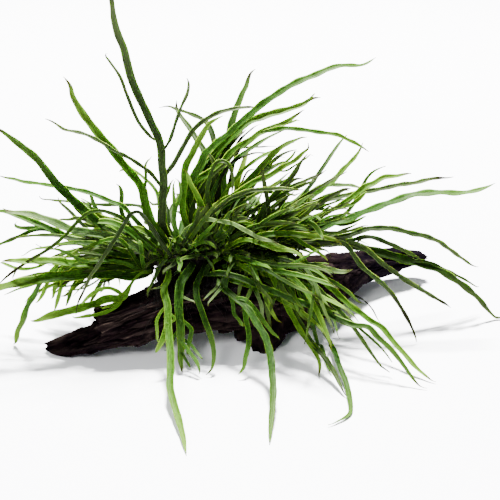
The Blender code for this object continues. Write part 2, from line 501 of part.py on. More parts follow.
def settle(strands, owners, fixed, fixed_reach):
    """Slide the strands' points along the line of sight until no two plants touch.

    Of two plants that come too close, the one in front there moves on towards the eye, where
    their places on the whole and their distance from the rhizome count too. Then each strand
    evens out its slide along itself. fixed are points of the rhizome and the root mats, and
    fixed_reach what they keep clear.
    """
    sizes = [len(strand["line"]) for strand in strands]
    first = np.concatenate([[0], np.cumsum(sizes)])
    places = [np.linspace(0, size - 1, (size - 1) * 2 + 1) for size in sizes]
    where = np.concatenate([start + place for start, place in zip(first, places)])
    low = np.floor(where).astype(int)
    part_high = where - low
    high = np.minimum(low + 1, first[-1] - 1)
    owner = np.concatenate([np.full(len(place), own) for own, place in zip(owners, places)])
    way_round = np.concatenate([np.full(len(place), strand["wood_way"])
                                for strand, place in zip(strands, places)])
    rank = np.concatenate([np.full(len(place), strands[strand["parent"]]["line"][:, 1].mean())
                           for strand, place in zip(strands, places)])
    from_seat = np.concatenate([place * BLADE_STEP + (FLOOR_LEAN if strand["root"] is not None else 0)
                                for strand, place in zip(strands, places)])
    width = np.concatenate([strand["width"] for strand in strands])
    reach = (width[low] * (1 - part_high) + width[high] * part_high) * WIDTH_SHARE + CLEARANCE / 2
    reach = np.minimum(reach, SEAT_REACH + SEAT_OPENING * from_seat)
    hold = np.clip(from_seat / SEAT_HOLD, 0.1, 1)
    best = (np.inf, None, 0.0, 0)
    starts = [strand["line"].copy() for strand in strands]
    away = [unit(line - EYE) for line in starts]
    slides = [np.zeros(size) for size in sizes]
    for turn in range(SETTLE_ROUNDS):
        points = np.vstack([strand["line"] for strand in strands])
        samples = points[low] * (1 - part_high[:, None]) + points[high] * part_high[:, None]
        if turn % SEARCH_EVERY == 0:
            a, b = neighbours(samples, owner)
        over = reach[a] + reach[b] - np.linalg.norm(samples[a] - samples[b], axis=1)
        hit = over > 0
        score = (over[hit] ** 2).sum() + wood_overlap(samples, reach).sum()
        if score < best[0] or turn == 0:
            best = (score, [strand["line"].copy() for strand in strands], float(over.max()), turn)
        a_hit, b_hit = a[hit], b[hit]
        nearer = samples[a_hit, 1] - samples[b_hit, 1] + RANK_SHARE * (rank[a_hit] - rank[b_hit])
        stem_depth = np.interp(samples[a_hit, 0], RHIZOME_LINE[:, 0], RHIZOME_LINE[:, 1])
        side = np.where(samples[a_hit, 1] < stem_depth, 1.0, -1.0)
        nearer += OUTER_SHARE * side * (from_seat[b_hit] - from_seat[a_hit])
        push = 0.5 * over[hit] * np.where(nearer > 0, 1.0, -1.0)
        moves = np.zeros(len(samples))
        np.add.at(moves, a_hit, push)
        np.add.at(moves, b_hit, -push)
        gap = np.linalg.norm(samples[:, None] - fixed[None], axis=2) - fixed_reach[None]
        nearest = gap.argmin(axis=1)
        short = np.minimum(reach, 0.3 + 0.5 * from_seat) - gap.min(axis=1)
        near_way = np.where(samples[:, 1] > fixed[nearest, 1], 1.0, -1.0)
        moves += np.where(short > 0, STEM_PUSH * short * near_way, 0)
        moves += WOOD_PUSH * wood_overlap(samples, reach + WOOD_MARGIN) * way_round
        moves *= hold
        shift = np.zeros(first[-1])
        np.add.at(shift, low, moves * (1 - part_high))
        np.add.at(shift, high, moves * part_high)
        for k, strand in enumerate(strands):
            slide = slides[k]
            slide += np.clip(shift[first[k]:first[k + 1]], -LARGEST_MOVE, LARGEST_MOVE)
            padded = np.concatenate([[0], slide, [2 * slide[-1] - slide[-2]]])
            slide += STIFFNESS * ((padded[:-2] + padded[2:]) / 2 - slide)
            slide[0] = 0
            strand["line"] = starts[k] + away[k] * slide[:, None]
            if strand["root"] is not None:
                strand["line"] += strands[strand["parent"]]["line"][strand["root"]] - strand["root_at"]
            strand["line"][1:, 2] = np.maximum(strand["line"][1:, 2], FLOOR_CLEARANCE)
        if best[0] < GOOD_ENOUGH:
            break
    for strand, line in zip(strands, best[1]):
        strand["line"] = line
    print("fronds settled, best round", best[3], "of", turn + 1, "with score", round(float(best[0]), 2))


# Solids

def blade_mesh(strand):
    """A closed blade with a diamond section, as (vertices in mm, faces)."""
    line, width = strand["line"], strand["width"]
    tangent = unit(np.gradient(line, axis=0))
    upright = np.array([0, 0, 1.0])
    near_floor = np.exp(-np.maximum(line[:, 2], 0) / FLAT_HEIGHT)[:, None]
    face = strand["face"] * (1 - near_floor) + upright * near_floor
    across = unit(np.cross(tangent, face))
    normal = unit(np.cross(across, tangent))
    s = np.linspace(0, 1, len(line))
    thick = RIB_THICKNESS * (1 - TIP_THINNING * s)
    half = (width / 2)[:, None]
    rib = (thick / 2)[:, None]
    rings = np.stack([line + across * half, line + normal * rib, line - across * half,
                      line - normal * rib], 1)
    dense = min(DENSE_SECTIONS, len(line) - 2) if strand["root"] is None else 1
    kept = list(range(dense))
    for place in range(dense, len(line) - 1):
        twist = np.arccos(np.clip(across[place] @ across[kept[-1]], -1, 1))
        turn = np.arccos(np.clip(tangent[place] @ tangent[kept[-1]], -1, 1))
        if (place - dense) % SECTION_EVERY == 0 or max(twist, turn) > SECTION_TURN:
            kept.append(place)
    rings = rings[kept]
    count = len(rings)
    vertices = np.vstack([rings.reshape(-1, 3), line[-1]])
    faces = [(0, 1, 2, 3)]
    for ring in range(count - 1):
        for k in range(4):
            a, b = ring * 4 + k, ring * 4 + (k + 1) % 4
            faces.append((a, a + 4, b + 4, b))
    last = (count - 1) * 4
    faces += [(last + k, count * 4, last + (k + 1) % 4) for k in range(4)]
    return vertices, faces


def loft_mesh(rings):
    """A closed loft through rings (N, M, 3), with its ends filled."""
    count, around = rings.shape[:2]
    faces = [tuple(range(around))]
    for ring in range(count - 1):
        for k in range(around):
            a, b = ring * around + k, ring * around + (k + 1) % around
            faces.append((a, a + around, b + around, b))
    faces.append(tuple(range(count * around - 1, (count - 1) * around - 1, -1)))
    return rings.reshape(-1, 3), faces


def make_material(name, colour, roughness):
    material = bpy.data.materials.new(name)
    material.use_nodes = True
    shader = material.node_tree.nodes["Principled BSDF"]
    shader.inputs["Base Color"].default_value = (*colour, 1)
    shader.inputs["Roughness"].default_value = roughness
    material.diffuse_color = (*colour, 1)
    return material


def make_object(name, vertices, faces, material, helper=False):
    mesh = bpy.data.meshes.new(name)
    mesh.from_pydata((np.asarray(vertices) * MM).tolist(), [], faces)
    volume = sum(triangle_volume(vertices, face) for face in faces)
    if volume < 0:
        mesh.flip_normals()
    mesh.materials.append(material)
    thing = bpy.data.objects.new(name, mesh)
    bpy.context.scene.collection.objects.link(thing)
    if helper:
        thing.hide_render = True
        thing.display_type = "WIRE"
    return thing


def triangle_volume(vertices, face):
    """Six times the volume under a face, seen from the origin."""
    corners = np.asarray(vertices)[list(face)]
    return sum(np.dot(corners[0], np.cross(corners[k], corners[k + 1])) for k in range(1, len(face) - 1))


def fuse(thing, helper):
    modifier = thing.modifiers.new(helper.name, "BOOLEAN")
    modifier.operation = "UNION"
    modifier.solver = "EXACT"
    modifier.object = helper


def make_wood(material):
    for name, (start, end) in WOOD_PARTS.items():
        ends = (start + SEAM_GAP / 2 * (start > WOOD_STATIONS[0, 0]),
                end - SEAM_GAP / 2 * (end < WOOD_STATIONS[-1, 0]))
        wood = make_object(name, *loft_mesh(wood_sections(*ends)), material)
        if name == "driftwood_heart":
            fuse(wood, make_object("foot_stub", *loft_mesh(foot_rings()), material, helper=True))


def make_rhizome(material):
    share = np.linspace(0, 1, RHIZOME_RINGS)
    middle, tangent = rhizome_frame(share)
    up = unit(np.array([0, 0, 1.0]) - tangent * tangent[:, 2:])
    side = np.cross(tangent, up)
    angle = np.linspace(0, 2 * np.pi, RHIZOME_RING, endpoint=False)[None, :, None]
    radius = rhizome_radius(share)[:, None, None] * np.ones((1, RHIZOME_RING, 1))
    radius[[0, -1]] *= RHIZOME_CLOSE
    rings = middle[:, None] + radius * (np.cos(angle) * side[:, None] + np.sin(angle) * up[:, None])
    return make_object("rhizome", *loft_mesh(rings), material)


def wood_top(x, y):
    """The highest point of the wood's sections near a place."""
    rings = wood_sections(WOOD_STATIONS[0, 0], WOOD_STATIONS[-1, 0]).reshape(-1, 3)
    near = np.linalg.norm(rings[:, :2] - (x, y), axis=1) < WOOD_NEAR
    return rings[near, 2].max()


def root_rings():
    """Rings of each root mat, between the rhizome's underside and the wood's top."""
    mats = {}
    for name, (start, end) in ROOT_MATS.items():
        x = np.linspace(start, end, ROOT_RINGS)
        share = (x - RHIZOME_LINE[0, 0]) / (RHIZOME_LINE[-1, 0] - RHIZOME_LINE[0, 0])
        middle, _ = rhizome_frame(share)
        high = middle[:, 2] - rhizome_radius(share) - 2 * SEAM_GAP
        low = np.array([wood_top(*place[:2]) for place in middle]) + SEAM_GAP
        low = np.minimum(low, high - ROOT_LEAST)
        angle = np.linspace(0, 2 * np.pi, RHIZOME_RING, endpoint=False)
        spread = (ROOT_SPREAD * np.sin(np.linspace(ROOT_END, np.pi - ROOT_END, ROOT_RINGS)))[:, None]
        tall = ((high - low) / 2)[:, None]
        mats[name] = np.stack([np.repeat(middle[:, :1], RHIZOME_RING, 1),
                               middle[:, 1:2] + spread * np.cos(angle),
                               ((high + low) / 2)[:, None] + tall * np.sin(angle)], -1)
    return mats


def make_roots(material):
    for name, rings in root_rings().items():
        make_object(name, *loft_mesh(rings), material)


def frond_material(name, materials):
    if any(word in name for word in GREY_WORDS):
        return materials["grey"]
    return materials["deep"] if any(word in name for word in DEEP_WORDS) else materials["fresh"]


def main():
    for thing in list(bpy.data.objects):
        bpy.data.objects.remove(thing)
    wood = make_material("bog_wood", BOG_BROWN, 0.7)
    roots = make_material("root_fibre", ROOT_BROWN, 0.85)
    greens = {"fresh": make_material("fresh_frond", FRESH_GREEN, 0.4),
              "deep": make_material("deep_frond", DEEP_GREEN, 0.35),
              "grey": make_material("grey_frond", GREY_GREEN, 0.4)}
    make_wood(wood)
    make_roots(roots)
    rhizome = make_rhizome(roots)

    plants = all_plants()
    seats = seat_rows(plants)
    strands, owners = [], []
    for number, (plant, (share, turn)) in enumerate(zip(plants, seats)):
        first = len(strands)
        for strand in plant_strands(plant, share, turn):
            strand["parent"] = first
            strand["wood_way"] = 1.0 if plant["lean_order"] < BEHIND_WOOD else -1.0
            strands.append(strand)
            owners.append(number if plant["name"] != "rhizome" else len(plants))
    share = np.linspace(0, 1, RHIZOME_SAMPLES)
    mats = np.vstack([rings.reshape(-1, 3) for rings in root_rings().values()])
    settle(strands, np.array(owners), np.vstack([rhizome_frame(share)[0], mats]),
           np.concatenate([rhizome_radius(share), np.full(len(mats), ROOT_REACH)]))

    firsts = sorted({strand["parent"] for strand in strands}) + [len(strands)]
    for number, plant in enumerate(plants):
        own = strands[firsts[number]:firsts[number + 1]]
        if plant["name"] == "rhizome":
            fuse(rhizome, make_object(f"young_frond_{number}", *blade_mesh(own[0]), greens["fresh"],
                                      helper=True))
            continue
        blade = make_object(plant["name"], *blade_mesh(own[0]), frond_material(plant["name"], greens))
        for lobe_number, strand in enumerate(own[1:], 1):
            fuse(blade, make_object(f"{plant['name']}_lobe_{lobe_number}", *blade_mesh(strand),
                                    blade.data.materials[0], helper=True))


main()
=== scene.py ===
# %% [markdown]
# # Java fern on driftwood
#
# A narrow-leaved java fern grows on a dark branch of driftwood. A creeping stem, the rhizome, lies
# along the branch and holds on to it with fine black roots. From the stem rise the fronds: long
# ribbons, many of them forked near the tip like an antler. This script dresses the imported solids.
# It loads them as a fixed frame, and makes each visible piece as a surface worked out with numpy.

import bpy
import numpy as np
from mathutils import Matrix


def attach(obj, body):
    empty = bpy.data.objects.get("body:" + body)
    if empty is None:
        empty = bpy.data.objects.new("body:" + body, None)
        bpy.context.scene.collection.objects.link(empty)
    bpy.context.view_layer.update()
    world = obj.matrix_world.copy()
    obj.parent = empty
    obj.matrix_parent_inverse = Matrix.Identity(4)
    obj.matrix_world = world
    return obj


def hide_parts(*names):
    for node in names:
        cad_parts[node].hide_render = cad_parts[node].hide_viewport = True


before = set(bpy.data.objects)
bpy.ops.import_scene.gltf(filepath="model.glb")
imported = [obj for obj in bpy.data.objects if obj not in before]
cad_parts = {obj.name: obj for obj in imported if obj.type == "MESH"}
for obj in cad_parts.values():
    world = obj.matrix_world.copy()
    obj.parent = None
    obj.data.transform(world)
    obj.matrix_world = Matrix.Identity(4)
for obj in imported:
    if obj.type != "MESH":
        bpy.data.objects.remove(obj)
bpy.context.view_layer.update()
MM = 0.001

# %% [markdown]
# ## The view
#
# The plant's paths are written down as they are seen from the front, in picture units of 0.7 mm at
# the middle of the plant. A path alone says nothing about depth. The depth of each frond comes from
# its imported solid, so every ribbon lies where its solid lies, from any side. The camera is set once
# here, and the same few vectors turn a picture point and a depth into a point in space.

# %% Camera and the way from a picture point to a point in space
VIEW_ELEVATION = np.radians(24)  # the eye looks down on the plant by this much
VIEW_DISTANCE = 720.0  # mm, from the eye to the middle of the plant
VIEW_TARGET = np.array([-8.4, 30.0, 62.3])  # mm, the middle of the plant
PICTURE_UNIT = 0.70  # mm that one picture unit spans at the middle of the plant
PICTURE_MIDDLE = 250.0  # picture units, across and down
SENSOR_WIDTH = 36.0  # mm
RIGHT = np.array([1.0, 0.0, 0.0])
FORWARD = np.array([0.0, np.cos(VIEW_ELEVATION), -np.sin(VIEW_ELEVATION)])
PICTURE_UP = np.array([0.0, np.sin(VIEW_ELEVATION), np.cos(VIEW_ELEVATION)])
EYE = VIEW_TARGET - VIEW_DISTANCE * FORWARD
FOCAL = VIEW_DISTANCE / PICTURE_UNIT

lens = bpy.data.cameras.new("camera")
lens.sensor_width = SENSOR_WIDTH
lens.lens = SENSOR_WIDTH * FOCAL / (2 * PICTURE_MIDDLE)
camera = bpy.data.objects.new("camera", lens)
camera.location = EYE * MM
camera.rotation_euler = (np.pi / 2 - VIEW_ELEVATION, 0, 0)
bpy.context.scene.collection.objects.link(camera)
bpy.context.scene.camera = camera


def unit(vectors):
    """Each vector divided by its length."""
    return vectors / np.linalg.norm(vectors, axis=-1, keepdims=True)


def at_depth(picture, depth):
    """The points seen at picture points (N, 2) on the upright planes y = depth.

    Each is the eye plus as much of the sight line as it takes to reach y = depth.
    """
    across, down = (np.asarray(picture, float) - PICTURE_MIDDLE).T / FOCAL
    line = FORWARD + across[:, None] * RIGHT - down[:, None] * PICTURE_UP
    return EYE + line * ((depth - EYE[1]) / line[:, 1])[:, None]


def seen_at(points):
    """Picture points of points (N, 3) in mm: the offsets from the eye, divided by their depth."""
    ray = np.atleast_2d(points) - EYE
    depth = ray @ FORWARD
    return PICTURE_MIDDLE + FOCAL * np.stack([ray @ RIGHT, -(ray @ PICTURE_UP)], 1) / depth[:, None]


print("the camera has a lens of", round(lens.lens, 1), "mm")

# %% [markdown]
# ## Tools for lines and noise
#
# A frond, a root and a hair are all carried along a middle line. The line is a smooth curve through
# a few points, drawn again as evenly spaced points. Natural surfaces need some disorder too. It
# comes from value noise: random heights on a grid, blended smoothly in between, always from the
# same seed, so the plant is the same each time.

# %% Lines and noise
CURVE_STEPS = 13  # points from one given point to the next, both counted
LEAST_POINTS = 6  # on any line


def lengths_along(points):
    """The length of a line up to each of its points."""
    return np.concatenate([[0.0], np.cumsum(np.linalg.norm(np.diff(points, axis=0), axis=1))])


def smooth_curve(points, spacing):
    """A cubic Hermite curve through the points, as points evenly spaced along it.

    Its parameter grows with the square root of each step, so short steps don't make it loop. The
    slope at an inner point is the mean of the slopes beside it, weighted by the other's step.
    """
    steps = np.sqrt(np.linalg.norm(np.diff(points, axis=0), axis=1))[:, None]
    secant = np.diff(points, axis=0) / steps
    inner = (steps[1:] * secant[:-1] + steps[:-1] * secant[1:]) / (steps[1:] + steps[:-1])
    slope = np.vstack([secant[:1], inner, secant[-1:]])
    t = np.linspace(0, 1, CURVE_STEPS)[:-1, None, None]
    h = steps[None]
    curve = ((2 * t**3 - 3 * t**2 + 1) * points[:-1] + (t**3 - 2 * t**2 + t) * h * slope[:-1]
             + (3 * t**2 - 2 * t**3) * points[1:] + (t**3 - t**2) * h * slope[1:])
    curve = np.vstack([curve.transpose(1, 0, 2).reshape(-1, points.shape[1]), points[-1]])
    along = lengths_along(curve)
    even = np.linspace(0, along[-1], max(int(along[-1] / spacing), LEAST_POINTS))
    return np.stack([np.interp(even, along, axis) for axis in curve.T], 1)


def moving_mean(values, reach):
    """The mean of each value and its neighbours up to reach places away; the ends are repeated."""
    padded = np.pad(values, reach, mode="edge")
    return np.convolve(padded, np.full(2 * reach + 1, 1 / (2 * reach + 1)), mode="valid")


NOISE_SIZE = 256  # heights along each side of the flat grid
LAYER_SHIFT = (31, 57)  # places by which each layer's heights are shifted
NOISE_HEIGHTS = np.random.default_rng(7).uniform(-1, 1, (NOISE_SIZE, NOISE_SIZE))


def noise(u, v, wrap=NOISE_SIZE, layer=0):
    """Value noise from -1 to 1: heights at whole u and v, blended by 3t^2 - 2t^3 in between.

    wrap is the number of steps of u after which it repeats, as round a branch.
    """
    i, j = np.floor(u).astype(int), np.floor(v).astype(int)
    a, b = u - i, v - j
    a, b = a * a * (3 - 2 * a), b * b * (3 - 2 * b)
    down, right = LAYER_SHIFT[0] * layer, LAYER_SHIFT[1] * layer
    row, next_row = (i % wrap + down) % NOISE_SIZE, ((i + 1) % wrap + down) % NOISE_SIZE
    column, next_column = (j + right) % NOISE_SIZE, (j + 1 + right) % NOISE_SIZE
    low = NOISE_HEIGHTS[row, column] * (1 - a) + NOISE_HEIGHTS[next_row, column] * a
    high = NOISE_HEIGHTS[row, next_column] * (1 - a) + NOISE_HEIGHTS[next_row, next_column] * a
    return low * (1 - b) + high * b


GRID = 64  # heights along each side of the solid grid
NOISE_BLOCK = np.random.default_rng(11).uniform(-1, 1, (GRID, GRID, GRID))


def solid_noise(places):
    """Value noise from -1 to 1 at places (..., 3): eight corner heights, blended along each axis."""
    low = np.floor(places).astype(int)
    t = places - low
    t = t * t * (3 - 2 * t)
    total = 0
    for corner in np.ndindex(2, 2, 2):
        i, j, k = np.moveaxis((low + corner) % GRID, -1, 0)
        total = total + NOISE_BLOCK[i, j, k] * np.where(corner, t, 1 - t).prod(axis=-1)
    return total


# %% [markdown]
# ## Shells
#
# Every surface here is a grid: rings of points, one after another along a line. Neighbouring rings
# are joined with four-sided faces, and the first and last ring are closed with one face each, so
# each shell is watertight. A piece can hold several shells, such as a frond and its side lobes.
# Each vertex also carries four numbers for its material: its place across the ribbon, its place
# along it, a tone of its own and how dark its tip is.

# %% From grids of points to objects
STRIP = "strip"  # the attribute: across, along, tone and tip darkness, each 0 to 1


def shell_faces(rings, around, first):
    """Faces of a closed tube of rings, whose first vertex has the number first."""
    ring, step = np.meshgrid(np.arange(rings - 1), np.arange(around), indexing="ij")
    a = first + ring * around + step
    b = first + ring * around + (step + 1) % around
    quads = np.stack([a, b, b + around, a + around], -1).reshape(-1, 4)
    caps = [list(range(first + around - 1, first - 1, -1)),
            list(range(first + (rings - 1) * around, first + rings * around))]
    return quads.tolist() + caps


def volume_of(grid):
    """Six times the volume inside a tube of rings, positive where its faces point outwards."""
    a, b = grid[:-1], np.roll(grid[:-1], -1, axis=1)
    c, d = np.roll(grid[1:], -1, axis=1), grid[1:]
    return (np.einsum("ijk,ijk->", a, np.cross(b, c)) + np.einsum("ijk,ijk->", a, np.cross(c, d)))


def no_strip(grid):
    """Strip values for a shell whose finish doesn't read them."""
    return np.zeros((*grid.shape[:2], 4))


def make_piece(name, shells, finish, nodes=()):
    """An object from closed shells, each a grid (rings, around, 3) in mm and its strip values."""
    vertices, faces, strips, first = [], [], [], 0
    for grid, strip in shells:
        grid = np.asarray(grid)
        if volume_of(grid - grid.reshape(-1, 3).mean(axis=0)) < 0:
            grid, strip = grid[:, ::-1], strip[:, ::-1]
        faces += shell_faces(*grid.shape[:2], first)
        vertices.append(grid.reshape(-1, 3))
        strips.append(np.broadcast_to(strip, (*grid.shape[:2], 4)).reshape(-1, 4))
        first += grid.shape[0] * grid.shape[1]
    mesh = bpy.data.meshes.new(name)
    mesh.from_pydata((np.vstack(vertices) * MM).tolist(), [], faces)
    mesh.polygons.foreach_set("use_smooth", np.ones(len(mesh.polygons), bool))
    attribute = mesh.attributes.new(STRIP, "FLOAT_COLOR", "POINT")
    attribute.data.foreach_set("color", np.vstack(strips).astype(np.float32).ravel())
    mesh.materials.append(finish)
    piece = bpy.data.objects.new(name, mesh)
    bpy.context.scene.collection.objects.link(piece)
    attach(piece, "root")
    if nodes:
        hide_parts(*nodes)
    return piece


# %% [markdown]
# ## Finishes
#
# A finish starts from what the real surface is. Colours are written as hex values, as a colour
# picker gives them, and one function turns them linear. Another adds a node with its settings and
# links, so that a finish reads as a list of steps. In Blender, ValToRGB is the colour ramp.

# %% Colour and nodes
def linear(hex_colour):
    """sRGB hex to linear: (c + 0.055) / 1.055 to the power 2.4, or c / 12.92 in the darks."""
    c = np.array([int(hex_colour[i:i + 2], 16) for i in (1, 3, 5)]) / 255
    return (*np.where(c > 0.04045, ((c + 0.055) / 1.055) ** 2.4, c / 12.92), 1.0)


def join(node, *values, **named):
    """Fills a node's inputs: values go to those in use, in their order, and named ones by name.

    An output is linked, a node is linked by its first output in use, and the rest are set.
    """
    pairs = list(zip([socket for socket in node.inputs if socket.enabled], values))
    pairs += [(node.inputs[name.replace("_", " ")], value) for name, value in named.items()]
    for socket, value in pairs:
        if isinstance(value, bpy.types.Node):
            value = next(output for output in value.outputs if output.enabled)
        if isinstance(value, bpy.types.NodeSocket):
            node.id_data.links.new(value, socket)
        else:
            socket.default_value = value
    return node


def add(material, kind, settings=None, *values, **named):
    """Adds a node of a kind, with its settings, and fills its inputs as join does.

    Among the settings, stops are the (place, colour) pairs of a colour ramp, where a colour is
    sRGB hex or a grey level. A new ramp has two of them.
    """
    node = material.node_tree.nodes.new("ShaderNode" + kind)
    settings = dict(settings or {})
    stops = settings.pop("stops", [])
    for key, value in settings.items():
        setattr(node, key, value)
    for _ in stops[2:]:
        node.color_ramp.elements.new(0.5)
    if stops:
        for element, (place, colour) in zip(node.color_ramp.elements, stops):
            element.position = place
            element.color = linear(colour) if isinstance(colour, str) else (colour, colour, colour, 1)
    return join(node, *values, **named)


# Settings for steps of arithmetic, where SIZE drops the sign, and for mixes of two colours.
PLUS, MINUS, TIMES, SIZE = ({"operation": way} for way in ("ADD", "SUBTRACT", "MULTIPLY", "ABSOLUTE"))
MIXED, MULTIPLIED = ({"data_type": "RGBA", "blend_type": way} for way in ("MIX", "MULTIPLY"))


def pattern(material, kind, per_mm, settings=None, **inputs):
    """A texture on Object coordinates, with per_mm repeats along x, y and z for each mm."""
    place = add(material, "TexCoord").outputs["Object"]
    place = add(material, "Mapping", {}, place, Scale=tuple(np.array(per_mm) / MM))
    return add(material, kind, settings, Vector=place, **inputs)


def new_finish(name, **values):
    """A material and its shader, with values for the shader's inputs."""
    material = bpy.data.materials.new(name)
    material.use_nodes = True
    return material, join(material.node_tree.nodes["Principled BSDF"], **values)


# %% [markdown]
# ### Fern leaf
#
# A java fern's blade is a leathery ribbon. Its midrib stands out on both sides. A painted highlight
# runs along the raised rib, and painted shade makes a dark line along each side of it. Darker and
# lighter streaks run along the blade over a net of fine dark veins. The thin edge is painted paler
# and yellower, a painted highlight and the light that comes through it. Towards its base the blade
# is painted darker, as the shade inside the crown. The stalk is nearly black, and old tips turn
# brown. The skin is dull in soft light, so its gloss is faint. A picture of a leaf could be laid on
# each blade, but worked-out patterns stay sharp and differ from blade to blade. They run along and
# across each ribbon, so they read the strip attribute. Only the blotches, the gloss and the net of
# veins use Object coordinates.

# %% The fern's finishes
VEIN_NET = 1.3  # mm, a mesh of the net of veins
BLOTCH = 6.0  # mm, a darker or lighter patch of green
BLOTCH_SHARE = 0.55  # how much the patches count in the shade of green
TONE_SHARE = 0.62  # how much a leaf's own tone counts in it
STREAKS = (7.0, 36.0, 30.0)  # steps of the streaks across a blade, along it and from tone to tone
LEAF_IOR = 1.42  # of a waxy skin
LEAF_GLOSS = 0.05  # specular level
LEAF_GLOW = (0.7, 1.0, 0.1)  # how far red, green and blue light spread inside a leaf
STALK_COLOUR = "#1b1a10"
DULL_PATCH = 2.0  # mm, a duller or shinier patch of the skin
SKIN_ROUGHNESS = (0.30, 0.25)  # the least, and how much it varies
GLOW_DEPTH = 0.0008  # m that light spreads inside a leaf
VEIN_RELIEF = 0.00015  # m, height of the net of veins
# How strongly the net of veins, the painted highlight and shade of the rib, the streaks and the old tip
# colour a blade.
NET_SHARE, RIB_SHARE, STREAK_SHARE, TIP_SHARE = 0.8, 0.85, 0.75, 0.93
# Midrib to edge: a painted highlight on the rib, painted shade beside it, then dark and paler lines.
RIB_HIGHLIGHT_AND_SHADE = [(0.0, 1.3), (0.06, 1.0), (0.15, 0.30), (0.30, 1.0), (0.42, 0.60), (0.54, 1.05),
             (0.68, 0.55), (0.80, 1.1)]


def fern_finish(name, deep, main, light, edge, tip, sheen):
    """A leaf finish from its darkest green to its edge, tip and the strength of its pale sheen."""
    material, shader = new_finish(name, IOR=LEAF_IOR, Subsurface_Weight=0.2, Subsurface_Scale=GLOW_DEPTH,
                                  Subsurface_Radius=LEAF_GLOW, Sheen_Weight=sheen, Sheen_Roughness=0.35,
                                  Specular_IOR_Level=LEAF_GLOSS, Specular_Tint=(0.75, 1.0, 0.40, 1.0))
    strip = add(material, "Attribute", {"attribute_name": STRIP})
    across, along, tone = add(material, "SeparateColor", {}, strip).outputs
    off_rib = add(material, "Math", MINUS, across, 0.5)
    off_rib = add(material, "Math", SIZE, off_rib)
    off_rib = add(material, "Math", TIMES, off_rib, 2.0)

    blotch = pattern(material, "TexNoise", [1 / BLOTCH] * 3, Detail=4.0)
    blotch = add(material, "Math", TIMES, blotch, BLOTCH_SHARE)
    shade = add(material, "Math", PLUS, blotch, add(material, "Math", TIMES, tone, TONE_SHARE))
    green = add(material, "ValToRGB", {"stops": [(0.30, deep), (0.55, main), (0.86, light)]}, shade)
    veins = pattern(material, "TexVoronoi", [1 / VEIN_NET] * 3, {"feature": "DISTANCE_TO_EDGE"})
    net = add(material, "ValToRGB", {"stops": [(0.0, 0.78), (0.12, 1.0)]}, veins)
    green = add(material, "Mix", MULTIPLIED, NET_SHARE, green, net)
    # Painted highlight on the raised midrib, and painted shade along each side of it.
    rib = add(material, "ValToRGB", {"stops": RIB_HIGHLIGHT_AND_SHADE}, off_rib)
    green = add(material, "Mix", MULTIPLIED, RIB_SHARE, green, rib)
    stretched = [add(material, "Math", TIMES, value, steps)
                 for value, steps in zip((across, along, tone), STREAKS)]
    stretched = add(material, "CombineXYZ", {}, *stretched)
    streaks = add(material, "TexNoise", Vector=stretched, Scale=1.0, Detail=3.0)
    streaks = add(material, "ValToRGB", {"stops": [(0.34, 0.45), (0.50, 1.0), (0.68, 1.5)]}, streaks)
    green = add(material, "Mix", MULTIPLIED, STREAK_SHARE, green, streaks)
    # Painted highlight and glow: the thin edge is painted paler and yellower.
    rim = add(material, "ValToRGB", {"stops": [(0.84, 0.0), (0.98, 0.25)]}, off_rib)
    green = add(material, "Mix", MIXED, rim, green, linear(edge))
    # Painted shade: the blade is darker towards its base, inside the crown.
    shaded_base = add(material, "ValToRGB", {"stops": [(0.04, 0.30), (0.36, 1.0)]}, along)
    green = add(material, "Mix", MULTIPLIED, 1.0, green, shaded_base)
    pale_end = add(material, "ValToRGB", {"stops": [(0.60, 0.0), (0.97, 0.24)]}, along)
    green = add(material, "Mix", MIXED, pale_end, green, linear(edge))
    stalk = add(material, "ValToRGB", {"stops": [(0.01, 0.92), (0.09, 0.0)]}, along)
    green = add(material, "Mix", MIXED, stalk, green, linear(STALK_COLOUR))
    old = add(material, "Math", TIMES, strip.outputs["Alpha"], TIP_SHARE)
    green = add(material, "Mix", MIXED, old, green, linear(tip))

    rough = pattern(material, "TexNoise", [1 / DULL_PATCH] * 3, Detail=2.0)
    rough = add(material, "Math", TIMES, rough, SKIN_ROUGHNESS[1])
    rough = add(material, "Math", PLUS, rough, SKIN_ROUGHNESS[0])
    relief = add(material, "Bump", Strength=0.25, Distance=VEIN_RELIEF, Height=veins)
    join(shader, Base_Color=green, Roughness=rough, Normal=relief)
    return material


# The deep finish is painted shade: the same leaf in darker greens, for fronds that lie in shade.
FERN = {
    "fresh": fern_finish("fresh_fern_leaf", "#0f2205", "#24440a", "#456b18", "#86a83e", "#2c2410", 0.0),
    "mid": fern_finish("mature_fern_leaf", "#0a1804", "#19330b", "#335818", "#688a3a", "#1d170a", 0.0),
    "deep": fern_finish("shaded_fern_leaf", "#071003", "#152608", "#2a4014", "#505e30", "#120e07", 0.0),
    "grey": fern_finish("silvery_fern_leaf", "#10200b", "#274018", "#506a34", "#96aa70", "#2c2816", 0.02),
    "dusky": fern_finish("dusky_fern_leaf", "#0c1409", "#1b2811", "#344420", "#6a784c", "#15120a", 0.0),
    "pale": fern_finish("new_fern_leaf", "#2b480b", "#4e7416", "#7c9c26", "#b2c65e", "#4a3c16", 0.0),
    "dry": fern_finish("dry_black_fern_leaf", "#030302", "#090a05", "#16180b", "#24261a", "#0a0806", 0.0),
}
print("made", len(FERN), "leaf finishes")
